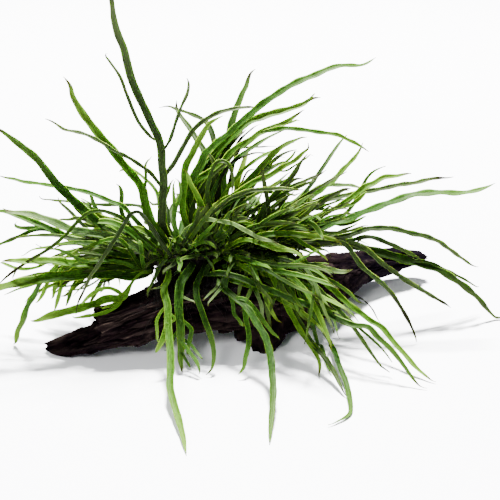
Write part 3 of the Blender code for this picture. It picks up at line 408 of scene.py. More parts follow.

# %% [markdown]
# ### Bogwood, stem and roots
#
# The branch is bogwood: hardwood that lay in water for years. Its colour follows the height of its
# relief: black down in the splits, which is painted shade, dark red-brown on the ridges between
# them, and a dull grey-brown only on the highest edges, partly wear and partly a painted highlight.
# It soaks up the light and has no gloss. A picture of wood would cross its ridges at random. Here
# the relief is modelled, and each vertex carries a tone from its height in the strip attribute, so
# the painted shade and highlight follow the true ridges and splits. Finer grain is stretched along
# x. Towards the right the wood is painted darker, with a blue-black sheen painted in. The creeping
# stem is dark green under its black scales, and the roots are fibres, black-brown and dull.

# %% The finishes of the wood, the stem and the roots
GRAIN_WIDE = 0.7  # mm across the grain
GRAIN_LONG = 18.0  # mm along it
GRAIN_SHARE = 0.40  # how much the grain counts in the wood's tone
RELIEF_SHADE_SHARE = 0.60  # how much the height of its relief counts in it
# Painted sheen: from this x on the wood is painted darker, with a blue-black sheen painted in.
COLD_SHEEN_FROM = 0.045  # m, x from which the wood is darker and colder
COLD_SHEEN_RISE = 22.0  # per m, how fast it gets so
COLD_SHEEN_MOST = 0.80  # share of the cold colour at most
STAIN_PER_MM = (0.03, 0.05, 0.05)  # red stains, along x, y and z
SCALES_PER_MM = (0.5, 0.9, 0.9)  # scales of the stem, along x, y and z
ROOT_PATCH = 4.0  # mm, a redder patch of a root
FINE_RELIEF = 0.0005  # m, height of the grain and of the edges of the scales
# From the bottom of a split, in painted shade, to a worn edge with a painted highlight.
WOOD_SHADE_TO_WORN_HIGHLIGHT = [(0.22, "#010001"), (0.46, "#080506"), (0.60, "#140e0d"), (0.73, "#201917"),
               (0.88, "#463b33")]


def wood_finish():
    """Bogwood: painted shade in the splits, red-brown ridges and worn edges with a painted highlight,
    painted darker on the right with a blue-black sheen.

    The roughness only counts in a viewer that gives every surface some gloss.
    """
    material, shader = new_finish("wet_bogwood", IOR=1.45, Specular_IOR_Level=0.0)
    strip = add(material, "Attribute", {"attribute_name": STRIP})
    height = add(material, "SeparateColor", {}, strip)
    grain = pattern(material, "TexNoise", [1 / GRAIN_LONG, 1 / GRAIN_WIDE, 1 / GRAIN_WIDE],
                    Detail=6.0, Roughness=0.62)
    stain = pattern(material, "TexNoise", STAIN_PER_MM, Detail=4.0)
    tone = add(material, "Math", PLUS, add(material, "Math", TIMES, grain, GRAIN_SHARE),
               add(material, "Math", TIMES, height, RELIEF_SHADE_SHARE))
    colour = add(material, "ValToRGB", {"stops": WOOD_SHADE_TO_WORN_HIGHLIGHT}, tone)
    red = add(material, "ValToRGB", {"stops": [(0.50, 0.0), (0.64, 0.55)]}, stain)
    colour = add(material, "Mix", MIXED, red, colour, linear("#130a0d"))
    x = add(material, "SeparateXYZ", {}, add(material, "TexCoord").outputs["Object"])
    # Painted sheen: darker and blue-black towards the right.
    cold_sheen = add(material, "Math", MINUS, x, COLD_SHEEN_FROM)
    cold_sheen = add(material, "Math", {**TIMES, "use_clamp": True}, cold_sheen, COLD_SHEEN_RISE)
    cold_sheen = add(material, "Math", TIMES, cold_sheen, COLD_SHEEN_MOST)
    colour = add(material, "Mix", MIXED, cold_sheen, colour, linear("#08060b"))
    rough = add(material, "ValToRGB", {"stops": [(0.35, 0.36), (0.7, 0.75)]}, grain)
    relief = add(material, "Bump", Strength=0.8, Distance=FINE_RELIEF, Height=grain)
    join(shader, Base_Color=colour, Roughness=rough, Normal=relief)
    return material


def stem_finish():
    """The creeping stem: dark green skin under rows of black-brown scales."""
    material, shader = new_finish("scaly_fern_stem", IOR=1.45, Specular_IOR_Level=0.2)
    scales = pattern(material, "TexVoronoi", SCALES_PER_MM)
    colours = [(0.1, "#2c3a14"), (0.45, "#19160d"), (0.8, "#0b0806")]
    join(shader, Base_Color=add(material, "ValToRGB", {"stops": colours}, scales),
         Roughness=add(material, "ValToRGB", {"stops": [(0.2, 0.5), (0.8, 0.85)]}, scales),
         Normal=add(material, "Bump", Strength=0.8, Distance=FINE_RELIEF, Height=scales))
    return material


def root_finish():
    """Root fibre: black-brown and dull, a little redder here and there."""
    material, shader = new_finish("black_root_fibre", IOR=1.45, Specular_IOR_Level=0.08)
    patches = pattern(material, "TexNoise", [1 / ROOT_PATCH] * 3, Detail=3.0)
    colours = [(0.35, "#030202"), (0.6, "#0c0806"), (0.8, "#1c120c")]
    join(shader, Base_Color=add(material, "ValToRGB", {"stops": colours}, patches),
         Roughness=add(material, "ValToRGB", {"stops": [(0.3, 0.6), (0.8, 0.9)]}, patches))
    return material


WOOD, STEM, ROOT = wood_finish(), stem_finish(), root_finish()

# %% [markdown]
# ## The driftwood
#
# The branch could be sculpted by hand, but a loft keeps to its measured outline: a row of sections
# along x, each a rounded square that is squashed and leaned as the branch goes. The stations give
# its height and depth. Wood splits along its grain, so all relief on the loft is solid noise drawn
# out along the branch: ridges as wide as a pencil lead, finer fibres, narrow splits, and flat steps
# where a layer has come off. The noise is taken in a frame that follows the branch's axis. So the
# grain runs straight on where the branch narrows, and the tip cuts across it, as on a real broken
# branch.

# %% Stations and grain
WOOD_STATIONS = np.array([  # x, y of the middle, half depth, underside and top (mm)
    (-149, -4, 6, 0, 4), (-146, -4.5, 7.5, 0, 5), (-138, -4.5, 10.5, 0, 8), (-129, -5, 12.5, 3, 12.5),
    (-121, -5, 14, 4.5, 16), (-117, -5, 15, 4, 17), (-115.5, -4.5, 16, 7, 23), (-113, -4, 17, 7, 29),
    (-101, -2, 18, 9, 30.5), (-94, 0, 19, 10.5, 33), (-91, 1, 19.5, 8, 34), (-85, 3.3, 20.6, 8.5, 35),
    (-83, 4, 21, 12, 35.5), (-62, 12, 24, 13, 41), (-40, 18, 26, 13, 46), (-20, 24, 28, 11, 48),
    (-6, 29, 29, 5, 48), (6, 34, 29, 1, 47.5), (22, 45, 29, 0, 44), (40, 60, 26, 2, 40),
    (56, 76, 20, 8, 35), (66, 86, 17, 9, 32), (72, 92, 16, 9, 30), (85, 100, 14, 9, 27.5),
    (98, 106, 12, 10, 26.5), (110, 111, 11, 13, 25.6), (123, 116, 8, 14.5, 22.3),
    (131, 118.5, 4, 17, 21),
], float)
# The top of the branch's lower body, and the height that its grain follows, as x and z (mm).
LOWER_TOP = np.array([(-149, 5), (-117, 17.5), (-101, 25), (-83, 30.5), (-62, 37), (-40, 43), (-20, 48)])
GRAIN_HEIGHT = np.array([(-149, 2), (-117, 11), (-83, 22), (-52, 28), (0, 26), (48, 19), (131, 19)])
WOOD_SQUARENESS = 0.68  # 1 is an oval section, and less is squarer
WOOD_AROUND = 190
WOOD_STEP = 0.8  # mm between rings
LEAST_HEIGHT = 0.05  # mm above the surface that it lies on
# The layers of relief: height (mm), length along the grain and width across it (mm).
RIDGES, FIBRES, SPLITS, STEPS = (1.2, 42.0, 4.2), (0.85, 26.0, 1.6), (2.3, 55.0, 5.0), (0.9, 34.0, 8.0)
SPLIT_WIDTH = 0.10  # share of the noise's range that is a split
STEP_LEVELS = 2.4  # flat steps up and down from the middle one
STEP_SHARPNESS = 7  # how steeply one step ends
FULL_RELIEF = (11, 12)  # mm of half depth and height under which the relief fades
LEAST_RELIEF = 0.3  # the share of it that is left at the thinnest
RELIEF_SINK = 0.3  # mm that the relief's middle lies inside the profile
PROFILE_STEP = 0.5  # mm
PROFILE_REACH = 3  # steps over which the profile is smoothed
AXIS_REACH = 20  # steps over which the grain's axis is smoothed
THREADS = (0.0, 22.0, 2.0)  # fine pale lines that are colour alone: no height
THREAD_TONE = 0.17  # how much they lighten the wood
BREAK_LENGTH = 3.4  # mm that a broken end's splinters stand out
BREAK_RINGS = 16
TIP_SLANT = 0.65  # mm that the left tip is cut back for each mm towards the eye
TIP_REACH = 4.0  # mm that its far corner stands out

fine_x = np.arange(WOOD_STATIONS[0, 0], WOOD_STATIONS[-1, 0] + PROFILE_STEP, PROFILE_STEP)
wood_profile = np.stack([moving_mean(np.interp(fine_x, WOOD_STATIONS[:, 0], column), PROFILE_REACH)
                         for column in WOOD_STATIONS[:, 1:].T])
grain_axis = np.stack([moving_mean(wood_profile[0], AXIS_REACH),
                       moving_mean(np.interp(fine_x, *GRAIN_HEIGHT.T), AXIS_REACH)])


def grain_places(points, layer):
    """Places in the grain's frame: along the branch and across it, over the layer's sizes."""
    _, long, wide = layer
    y, z = (np.interp(points[..., 0], fine_x, row) for row in grain_axis)
    return np.stack([points[..., 0] / long, (points[..., 1] - y) / wide,
                     (points[..., 2] - z) / wide], -1) + layer[0] * 10


def grain_relief(points):
    """Height (mm) of the relief at points: ridges and fibres and steps, less the splits."""
    fibres = 1 - 2 * np.abs(solid_noise(grain_places(points, FIBRES)))
    splits = np.clip(1 - np.abs(solid_noise(grain_places(points, SPLITS))) / SPLIT_WIDTH, 0, 1)
    layers = STEP_LEVELS * solid_noise(grain_places(points, STEPS))
    steps = np.tanh(STEP_SHARPNESS * (layers - np.round(layers)))
    return (RIDGES[0] * solid_noise(grain_places(points, RIDGES)) + FIBRES[0] * fibres
            - SPLITS[0] * splits + 0.5 * STEPS[0] * steps)


def wood_surface(x, angle, profile=wood_profile, lift=0.0, shrink=1.0):
    """Points at x and angle (0 faces the eye, a quarter turn is the top), in mm, and their relief.

    The section is a rounded square: cos and sin of the angle, each to a power under 1. shrink
    draws it in to its middle.
    """
    y, half, bottom, top = (np.interp(x, fine_x, row) for row in profile)
    slope = np.interp(x, fine_x, np.gradient(profile[0], fine_x))
    tangent = unit(np.stack([np.ones_like(slope), slope], -1))
    cos, sin = np.cos(angle), np.sin(angle)

    def placed(out):
        side = shrink * (half * np.sign(cos) * np.abs(cos) ** WOOD_SQUARENESS + out * cos)
        rise = shrink * ((top - bottom) / 2 * np.sign(sin) * np.abs(sin) ** WOOD_SQUARENESS + out * sin)
        return np.stack([x + tangent[..., 1] * side, y - tangent[..., 0] * side,
                         (top + bottom) / 2 + rise], -1)

    thick = np.clip(half / FULL_RELIEF[0], LEAST_RELIEF, 1)
    tall = np.clip((top - bottom) / FULL_RELIEF[1], LEAST_RELIEF, 1)
    relief = grain_relief(placed(0.0)) * thick * tall
    points = placed(relief + lift - RELIEF_SINK)
    points[..., 2] = np.maximum(points[..., 2], LEAST_HEIGHT)
    return points, relief


# %% [markdown]
# Each end of a piece of the branch is broken, not sawn. The last rings draw in to the middle of the
# section, and noise moves every point of them along the grain. Nearby points move alike, which
# makes bundles of splinters. The left tip is broken at a slant, so its far corner stands out the
# most. The branch has a lower body, and a layer on its left half that has come off short of the
# tip, so the outline has a step there.

# %% The branch
SPLINTER_WIDTH = 3.0  # mm
FINE_SPLINTERS = (2.6, 0.45)  # how many fine ones to a thick one, and how far they stand out beside it
BREAK_DEPTH = 9.0  # mm from the end over which splinters fade out
BREAK_MIDDLE = 0.03  # how far the last ring is drawn in, as a share of the section
SLANT_LENGTH = 30  # mm from the tip over which its slant fades out
TONE_MIDDLE = 0.50  # of the wood's tone, where its relief is 0
TONE_RANGE = 4.6  # mm of relief from the darkest to the lightest
BREAK_TONE = 0.7  # a broken face is this much as light


def broken(points, direction):
    """How far (mm) each point of a broken face stands out, from its place across the grain."""
    count, length = FINE_SPLINTERS
    across = np.stack([points[..., 1], points[..., 2], np.zeros(points.shape[:2])], -1) / SPLINTER_WIDTH
    coarse, fine = solid_noise(across + 5), solid_noise(across * count + 9)
    return direction * BREAK_LENGTH * (coarse + length * fine)


def branch_shell(start, end, profile, broken_ends):
    """A loft from start to end, with broken faces where broken_ends says so."""
    x = np.linspace(start, end, int((end - start) / WOOD_STEP))
    inwards = np.linspace(1, BREAK_MIDDLE, BREAK_RINGS)[1:]
    shrink = np.ones(len(x))
    if broken_ends[0]:
        x = np.concatenate([np.full(BREAK_RINGS - 1, start), x])
        shrink = np.concatenate([inwards[::-1], shrink])
    if broken_ends[1]:
        x = np.concatenate([x, np.full(BREAK_RINGS - 1, end)])
        shrink = np.concatenate([shrink, inwards])
    angle = np.linspace(0, 2 * np.pi, WOOD_AROUND, endpoint=False)
    x, angle = np.meshgrid(x, angle, indexing="ij")
    points, relief = wood_surface(x, angle, profile, shrink=shrink[:, None])
    for place, direction, wanted in ((start, -1.0, broken_ends[0]), (end, 1.0, broken_ends[1])):
        near = np.clip(1 - np.abs(x - place) / BREAK_DEPTH, 0, 1) if wanted else np.zeros_like(x)
        points[..., 0] += near * broken(points, direction)
    if start < LAYER_START:
        y_back = np.interp(start, fine_x, profile[0]) + np.interp(start, fine_x, profile[1])
        near = np.clip(1 - (x - start) / SLANT_LENGTH, 0, 1)
        points[..., 0] += near * (TIP_SLANT * np.maximum(y_back - points[..., 1], 0) - TIP_REACH)
    strip = np.zeros((*points.shape[:2], 4))
    threads = 1 - 4 * np.abs(solid_noise(grain_places(points, THREADS)))
    # Painted shade and highlight: the tone is darker where the relief is low and lighter where it is high.
    tone = TONE_MIDDLE + relief / TONE_RANGE + THREAD_TONE * threads
    strip[..., 0] = np.clip(tone, 0, 1) * np.where(shrink[:, None] < 1, BREAK_TONE, 1)
    return points, strip


LAYER_START = -112.5  # mm, x where the upper layer is broken off
LAYER_DEPTH = 0.93  # of the upper layer, as a share of the branch's
LAYER_SINK = 7  # mm that the layer's underside lies inside the lower body
LEFT_TIP, LEFT_CUT, RIGHT_CUT, RIGHT_TIP = -147, -52, 48, 129  # mm, x of the pieces' ends
CUT_OVERLAP = 0.3  # mm that two pieces share at a cut
lower_profile = wood_profile.copy()
lower_profile[3] = np.where(fine_x < LOWER_TOP[-1, 0], np.minimum(
    np.interp(fine_x, *LOWER_TOP.T), wood_profile[3]), wood_profile[3])
layer_profile = wood_profile.copy()
layer_profile[1] = wood_profile[1] * LAYER_DEPTH
layer_profile[2] = lower_profile[3] - LAYER_SINK
make_piece("bogwood_left_arm", [branch_shell(LEFT_TIP, LEFT_CUT, lower_profile, (True, False)),
                                branch_shell(LAYER_START, LEFT_CUT, layer_profile, (True, False))],
           WOOD, ["driftwood_left_arm"])
make_piece("bogwood_heart", [branch_shell(LEFT_CUT - CUT_OVERLAP, RIGHT_CUT, wood_profile, (False, False))],
           WOOD, ["driftwood_heart"])
make_piece("bogwood_right_arm",
           [branch_shell(RIGHT_CUT - CUT_OVERLAP, RIGHT_TIP, wood_profile, (False, True))],
           WOOD, ["driftwood_right_arm"])
print("made the branch")

# %% [markdown]
# The foot is a stub of a side branch under the middle, and the whole piece rests on it. It is a
# second loft, upright this time, that ends inside the branch. Two more lumps of the same wood grow
# beside it, so that its underside is ragged.

# %% The foot
FOOT_STATIONS = np.array([  # x, y, half width, half depth, z (mm), from the floor up
    (1, 1, 9, 7, 0), (2, 4, 13, 10, 8), (5, 13, 16, 13, 21), (7, 24, 13, 12, 33)], float)
FOOT_RIDGES = 5
FOOT_ROUGHNESS = 1.5  # mm
ROUGH_SIZES = (4.0, 1.5)  # mm, coarse and fine bumps on it
ROUGH_STRETCH = 0.3  # how closely the bumps follow one another upwards
RIDGE_HEIGHT = 0.055  # as a share of the foot's width
FOOT_TONE = (0.45, 3)  # its tone where it is even, and mm of roughness for a full step of it
FOOT_RINGS, FOOT_AROUND = 50, 90
# Lumps beside the foot: x, y, half width, half depth and lowest height (mm).
LUMPS = [(-13, 8, 8, 7, 4.0), (14, 12, 7, 7, 6.5), (-26, 9, 7, 6, 9.0)]
# A lump from its lowest point up: mm along x and y, share of its width and depth, and mm upwards.
LUMP_STATIONS = [(0, 0, 0.35, 0), (0, 0, 0.85, 1.5), (1, 3, 1, 6), (2, 9, 1, 18)]
LUMP_RIDGES = 3


def upright_shell(stations, ridges):
    """A loft from the floor up: an oval at each height, with ridges and noise round it."""
    height = np.linspace(stations[0, 4], stations[-1, 4], FOOT_RINGS)
    angle = np.linspace(0, 2 * np.pi, FOOT_AROUND, endpoint=False)
    z, angle = np.meshgrid(height, angle, indexing="ij")
    x, y, wide, deep = (np.interp(z, stations[:, 4], column) for column in stations[:, :4].T)
    plain = np.stack([x + wide * np.cos(angle), y + deep * np.sin(angle), z * ROUGH_STRETCH], -1)
    coarse, fine = (solid_noise(plain / size) for size in ROUGH_SIZES)
    rough = (coarse + 0.5 * fine) * FOOT_ROUGHNESS
    ridge = 1 + RIDGE_HEIGHT * np.cos(ridges * angle)
    points = np.stack([x + (wide * ridge + rough) * np.cos(angle),
                       y + (deep * ridge + rough) * np.sin(angle), z], -1)
    strip = np.zeros((*points.shape[:2], 4))
    # Painted shade and highlight: the tone is darker in the hollows of the roughness and lighter on its
    # bumps.
    strip[..., 0] = np.clip(FOOT_TONE[0] + rough / FOOT_TONE[1], 0, 1)
    return points, strip


foot = FOOT_STATIONS.copy()
foot[0, 4] = LEAST_HEIGHT
shells = [upright_shell(foot, FOOT_RIDGES)]
for x, y, wide, deep, low in LUMPS:
    lump = np.array([(x + right, y + back, wide * share, deep * share, low + rise)
                     for right, back, share, rise in LUMP_STATIONS], float)
    shells.append(upright_shell(lump, LUMP_RIDGES))
make_piece("bogwood_foot", shells, WOOD)
print("the foot has", len(shells), "lumps")

# %% [markdown]
# ## The creeping stem
#
# The rhizome is a tube along a curve. It swells behind the end where it grows, which is on the
# left, and thins towards its oldest end. Its scales could be a bump in the material, but then its
# outline would be smooth, so they are noise on the radius.

# %% The rhizome
RHIZOME_LINE = np.array([(-74, 22, 54), (-60, 25, 59), (-38, 29, 58), (-14, 35, 56.5), (8, 42, 55.5),
                         (26, 47, 54)], float)
RHIZOME_RADIUS = 3.2  # mm, at its thickest
RHIZOME_THIN = 0.72  # radius of its oldest end, as a share of the thickest
STEM_SWELL = 0.18  # how far along its swelling the growing end is
SCALE_HEIGHT = 0.45  # mm
SCALES_ROUND = 12  # scales in a turn
SCALE_LEAN = 5  # mm along the stem for each scale's width of turn
SCALE_LENGTH = 2.2  # mm
END_SHARE = 28  # the stem is rounded over one 28th of its length at each end
LEAST_END = 0.05  # radius of its last ring, as a share
STEM_AROUND = 40

stem_line = smooth_curve(RHIZOME_LINE, 0.5)
stem_share = np.linspace(0, 1, len(stem_line))


def stem_radius(share):
    """Its radius: it swells quickly from the growing end and thins slowly to the oldest end."""
    swell = np.sqrt(np.sin(np.pi * np.clip(share + STEM_SWELL, 0, 1)))
    return RHIZOME_RADIUS * (RHIZOME_THIN + (1 - RHIZOME_THIN) * swell)


def frames_along(line, upright):
    """Tangent, side and up of a line at each point, where up is as near upright as it can be."""
    tangent = unit(np.gradient(line, axis=0))
    side = unit(np.cross(tangent, upright))
    return tangent, side, np.cross(side, tangent)


def tube(line, radius, around, upright=(0.0, 0.0, 1.0)):
    """Rings of radius (one, one a point or a grid) round a line."""
    _, side, up = frames_along(line, np.array(upright))
    angle = np.linspace(0, 2 * np.pi, around, endpoint=False)[None, :, None]
    radius = np.broadcast_to(np.asarray(radius, float).reshape(-1, 1) if np.ndim(radius) < 2
                             else radius, (len(line), around))[..., None]
    return line[:, None] + radius * (np.cos(angle) * side[:, None] + np.sin(angle) * up[:, None])


ring = np.linspace(0, 1, STEM_AROUND, endpoint=False)
along, turn = np.meshgrid(lengths_along(stem_line), ring, indexing="ij")
scales = noise(turn * SCALES_ROUND + along / SCALE_LEAN, along / SCALE_LENGTH, SCALES_ROUND, 9)
scales = np.abs(scales) * SCALE_HEIGHT
ends = np.clip(np.minimum(stem_share, 1 - stem_share) * END_SHARE, 0, 1)
round_ends = np.sqrt(1 - (1 - ends) ** 2)[:, None]
stem = tube(stem_line, (stem_radius(stem_share)[:, None] + scales - SCALE_HEIGHT / 2)
            * np.maximum(round_ends, LEAST_END), STEM_AROUND)
make_piece("creeping_stem", [(stem, no_strip(stem))], STEM, ["rhizome"])
print("the stem is", round(float(along[-1, 0]), 1), "mm long")

# %% [markdown]
# ## Fronds
#
# A frond could be a flat card with a leaf painted on it, but a card has no fold and no edge. Here
# it is a ribbon. Its section is a shallow V with a raised rib in the middle, because the two halves
# of the blade fold up a little from the midrib: so one half catches the light and the other is in
# shade. The edges are thin and ruffled. The width grows from a thin stalk to an even strap
# and runs out in a long tip. A lobe is a ribbon of its own that starts inside the blade it leaves.

# %% The ribbon
FACE_WAYS = np.array([0.0, -0.55, 0.85])  # the way the blades turn their upper side
FLAT_HEIGHT = 9.0  # mm above the surface in which a blade turns flat to it
RING_SPACING = 1.6  # mm between rings of a ribbon
STIPE_WIDTH = 2.0  # mm, the stalk at the rhizome
STALK_SHARE = 0.17  # share of a frond over which its stalk widens to the blade
NECK_SHARE = 0.12  # share of a lobe over which its neck widens
NECK_WIDTH = 0.55  # a lobe's neck, as a share of its widest width
TIP_START = (6.0, 10.0)  # how late a blade starts to narrow: higher is later
LEAST_WIDTH = 0.6  # mm, at the very tip
REST_HEIGHT = 1.3  # mm, the lowest that a blade's middle line may lie
DARK_FROM = 0.93  # share of a blade from which its tip is dry and dark
DARK_GROWTH = 0.55  # share of that end over which the dark sets in
HOOK_START = 0.93  # share of a blade from which its tip may curl aside
HOOK = 3.0  # mm that it curls aside at most
WANDER = (0.35, 10)  # mm that a blade's middle line wanders aside, and in how many mm
WIDTH_WAVER = (0.09, 9)  # share by which its width wavers, and in how many mm
TWIST = (0.15, 0.3)  # radians that it is turned at its base at most, and by its tip
TWIST_WAVER = (0.15, 26)  # radians that the twist wavers, and in how many mm
FLOOR_HOLD = 0.8  # share of its twist that a blade loses on the surface
TIP_POWER = 0.75  # under 1 keeps the tip broad until late
BLADE_FULLNESS = 1.06  # the ribbons are this much wider than their solids, edge included
BLADE_THICKNESS = 0.34  # mm, beside the midrib
EDGE_THINNING = 0.72  # share of the thickness that the edge lacks
RIB_HEIGHT = 0.50  # mm, on the upper side
RIB_WIDTH = 0.10  # as a share of half the blade
RIB_BELOW = 1.1  # height of the rib on the lower side, as a share of the upper
RIB_FADE = 0.6  # share of its height that it loses by the tip
FOLD = 0.42  # how far the halves fold up, as a share of their width
FOLD_RANGE = (0.6, 1.4)  # and how much that differs from blade to blade
RUFFLE = 0.16  # height of the ruffled edge, as a share of half the width
RUFFLE_LENGTH = (11, 19)  # mm
# Half widths (mm) under which the fold, the rib and the thickness fade, and the least share left.
FOLD_FADE, THIN_FADE, RIB_FADE_WIDTH = (1.4, 0.3), (1.0, 0.35), (1.6, 0.25)
FLOOR_GAP = 0.1  # mm, under a blade that lies on the surface
LOBE_BASE = 0.2  # a lobe's colour starts as far along as this
SIDE_REACH = 3  # rings over which the way across is smoothed
LEAST_DARK_END = 0.01  # share of a blade over which the dark sets in, at least
NOISE_ROWS = (97, 83, 89)  # rows of noise to pick from for the width, the line and the twist
UPPER = np.array([-1, -0.72, -0.42, -0.2, -0.08, 0, 0.08, 0.2, 0.42, 0.72, 1])  # across, upper side
LOWER = np.array([0.7, 0.3, 0.1, 0, -0.1, -0.3, -0.7])  # and back below
ACROSS = np.concatenate([UPPER, LOWER])


def ribbon(line, widest, stalked, tone, dark_from, seed, bare=0.0):
    """A closed ribbon along a line, as (grid, strip).

    u goes from -1 to 1 across it and s from 0 to 1 along it. Upper side: fold * |u| + rib *
    exp(-(u / rib width)^2) + ruffle * u^2 * sin(waves along it). The lower side is the upper one
    less the thickness, which thins to the edge as 1 - thinning * u^2.
    """
    rng = np.random.default_rng(seed)
    count = len(line)
    line = np.column_stack([line[:, :2], moving_mean(np.maximum(line[:, 2], REST_HEIGHT), 1)])
    along = lengths_along(line)
    s = along / along[-1]
    swell = np.clip((s - bare) / (STALK_SHARE if stalked else NECK_SHARE), 0, 1)
    swell = swell * swell * (3 - 2 * swell)
    base = STIPE_WIDTH if stalked else NECK_WIDTH * widest
    narrowing = np.clip(1 - s ** rng.uniform(*TIP_START), 0, 1) ** TIP_POWER
    width = (base + (widest - base) * swell) * narrowing
    waver = noise(along / WIDTH_WAVER[1], np.full(count, seed % NOISE_ROWS[0] + 0.5), layer=2)
    width = np.maximum(width * (1 + WIDTH_WAVER[0] * waver), LEAST_WIDTH)
    tangent = unit(np.gradient(line, axis=0))
    near_floor = np.exp(-np.maximum(line[:, 2], 0) / FLAT_HEIGHT) * (1 - tangent[:, 2] ** 2) ** 2
    near_floor = near_floor[:, None]
    face = FACE_WAYS * (1 - near_floor) + np.array([0, 0, 1.0]) * near_floor
    side = unit(np.cross(tangent, face))
    turned = np.concatenate([[1.0], np.cumprod(np.sign((side[1:] * side[:-1]).sum(axis=1)))])
    side = np.stack([moving_mean(axis, SIDE_REACH) for axis in (side * turned[:, None]).T], 1)
    side = unit(side - tangent * (side * tangent).sum(axis=1, keepdims=True))
    up = np.cross(side, tangent)
    hook = rng.uniform(-HOOK, HOOK) * np.clip((s - HOOK_START) / (1 - HOOK_START), 0, 1) ** 2
    wander = noise(along / WANDER[1], np.full(count, seed % NOISE_ROWS[1] + 0.5), layer=5)
    aside = hook + WANDER[0] * wander * swell
    line = line + side * (aside * (1 - near_floor[:, 0]))[:, None]
    twist = rng.uniform(-TWIST[0], TWIST[0]) + rng.uniform(-TWIST[1], TWIST[1]) * s
    waver = noise(along / TWIST_WAVER[1], np.full(count, seed % NOISE_ROWS[2] + 0.5), layer=3)
    twist = (twist + TWIST_WAVER[0] * waver)[:, None] * (1 - FLOOR_HOLD * near_floor)
    side, up = side * np.cos(twist) + up * np.sin(twist), up * np.cos(twist) - side * np.sin(twist)

    u = ACROSS[None]
    half = (width / 2)[:, None]

    def faded(fade):
        return np.clip(half / fade[0], fade[1], 1)

    fold = FOLD * rng.uniform(*FOLD_RANGE) * faded(FOLD_FADE)
    waves = np.sin(2 * np.pi * along / rng.uniform(*RUFFLE_LENGTH) + rng.uniform(0, 6))[:, None]
    ruffle = RUFFLE * half * u ** 2 * waves * np.sign(u)
    thick = BLADE_THICKNESS * (1 - EDGE_THINNING * u ** 2) * faded(THIN_FADE)
    rib = RIB_HEIGHT * np.exp(-(u / RIB_WIDTH) ** 2) * faded(RIB_FADE_WIDTH) * (1 - RIB_FADE * s[:, None])
    upper = fold * half * np.abs(u) + ruffle + rib
    lower = fold * half * np.abs(u) + ruffle - thick - RIB_BELOW * rib
    is_upper = np.arange(len(ACROSS)) < len(UPPER)
    rise = np.where(is_upper, upper, lower)
    grid = line[:, None] + side[:, None] * (half * u)[..., None] + up[:, None] * rise[..., None]
    lowest = LEAST_HEIGHT + FLOOR_GAP + np.where(is_upper, BLADE_THICKNESS / 2, 0)
    grid[..., 2] = np.maximum(grid[..., 2], lowest)
    dark_length = max(DARK_GROWTH * (1 - dark_from), LEAST_DARK_END)
    dark = np.clip((s - dark_from) / dark_length, 0, 1)[:, None]
    place = s if stalked else LOBE_BASE + (1 - LOBE_BASE) * s
    strip = np.stack(np.broadcast_arrays(u / 2 + 0.5, place[:, None], tone, dark), -1)
    return grid, strip


# %% [markdown]
# The depth of a ribbon comes from its solid. Points are spread over the edges of the solid's
# triangles, and each point of the ribbon's line takes the depth of those that are seen nearest to
# it. A rough guess of the depth helps where a frond crosses itself in the picture.

# %% Lines that lie in their solids
LEAN_POWER = 1.3  # how late a frond leans out: 1 is a straight lean
STALK_RISE = 5.0  # mm that a stalk runs straight out of the rhizome
GUESS_SHARE = 0.18  # how much the guessed depth counts beside the distance seen
LOBE_SPREAD = 0.16  # how far a lobe parts from its blade, as a share of its length
ROOT_DEPTH = 1.6  # mm that a stalk starts inside the stem
SEAT_SHARE = 0.35  # how much the place of the solid's seat counts beside the path's start
EDGE_POINTS = 7  # points on each edge of a solid's triangles
NEAREST = 10  # of them that a point's depth is the mean of
DEPTH_REACH = 4  # points over which the depth is smoothed
STEM_STRIDE = 4  # every fourth point of the stem's line is enough to find a seat


def solid_points(node):
    """Points (N, 3) in mm, spread along the edges of a solid's triangles."""
    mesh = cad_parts[node].data
    corners = np.empty(len(mesh.vertices) * 3, np.float32)
    mesh.vertices.foreach_get("co", corners)
    corners = corners.reshape(-1, 3) / MM
    edges = np.empty(len(mesh.edges) * 2, np.int32)
    mesh.edges.foreach_get("vertices", edges)
    a, b = corners[edges.reshape(-1, 2)].transpose(1, 0, 2)
    t = np.linspace(0, 1, EDGE_POINTS)[:, None, None]
    return (a * (1 - t) + b * t).reshape(-1, 3)


def laid_in(line, cloud):
    """The line, seen at the same picture points, at the depth of the solid's nearest points."""
    picture = seen_at(line)
    gap = PICTURE_UNIT * np.linalg.norm(picture[:, None] - seen_at(cloud)[None], axis=2)
    gap += GUESS_SHARE * np.abs(line[:, None, 1] - cloud[None, :, 1])
    nearest = np.argpartition(gap, NEAREST, axis=1)[:, :NEAREST]
    depth = moving_mean(cloud[nearest, 1].mean(axis=1), DEPTH_REACH)
    return at_depth(picture, depth)


def stem_point_near(points):
    """The numbers of the point nearest to the stem, and of the stem's point nearest to it."""
    gap = np.linalg.norm(points[:, None] - stem_line[None, ::STEM_STRIDE], axis=2)
    place = np.unravel_index(gap.argmin(), gap.shape)
    return place[0], place[1] * STEM_STRIDE


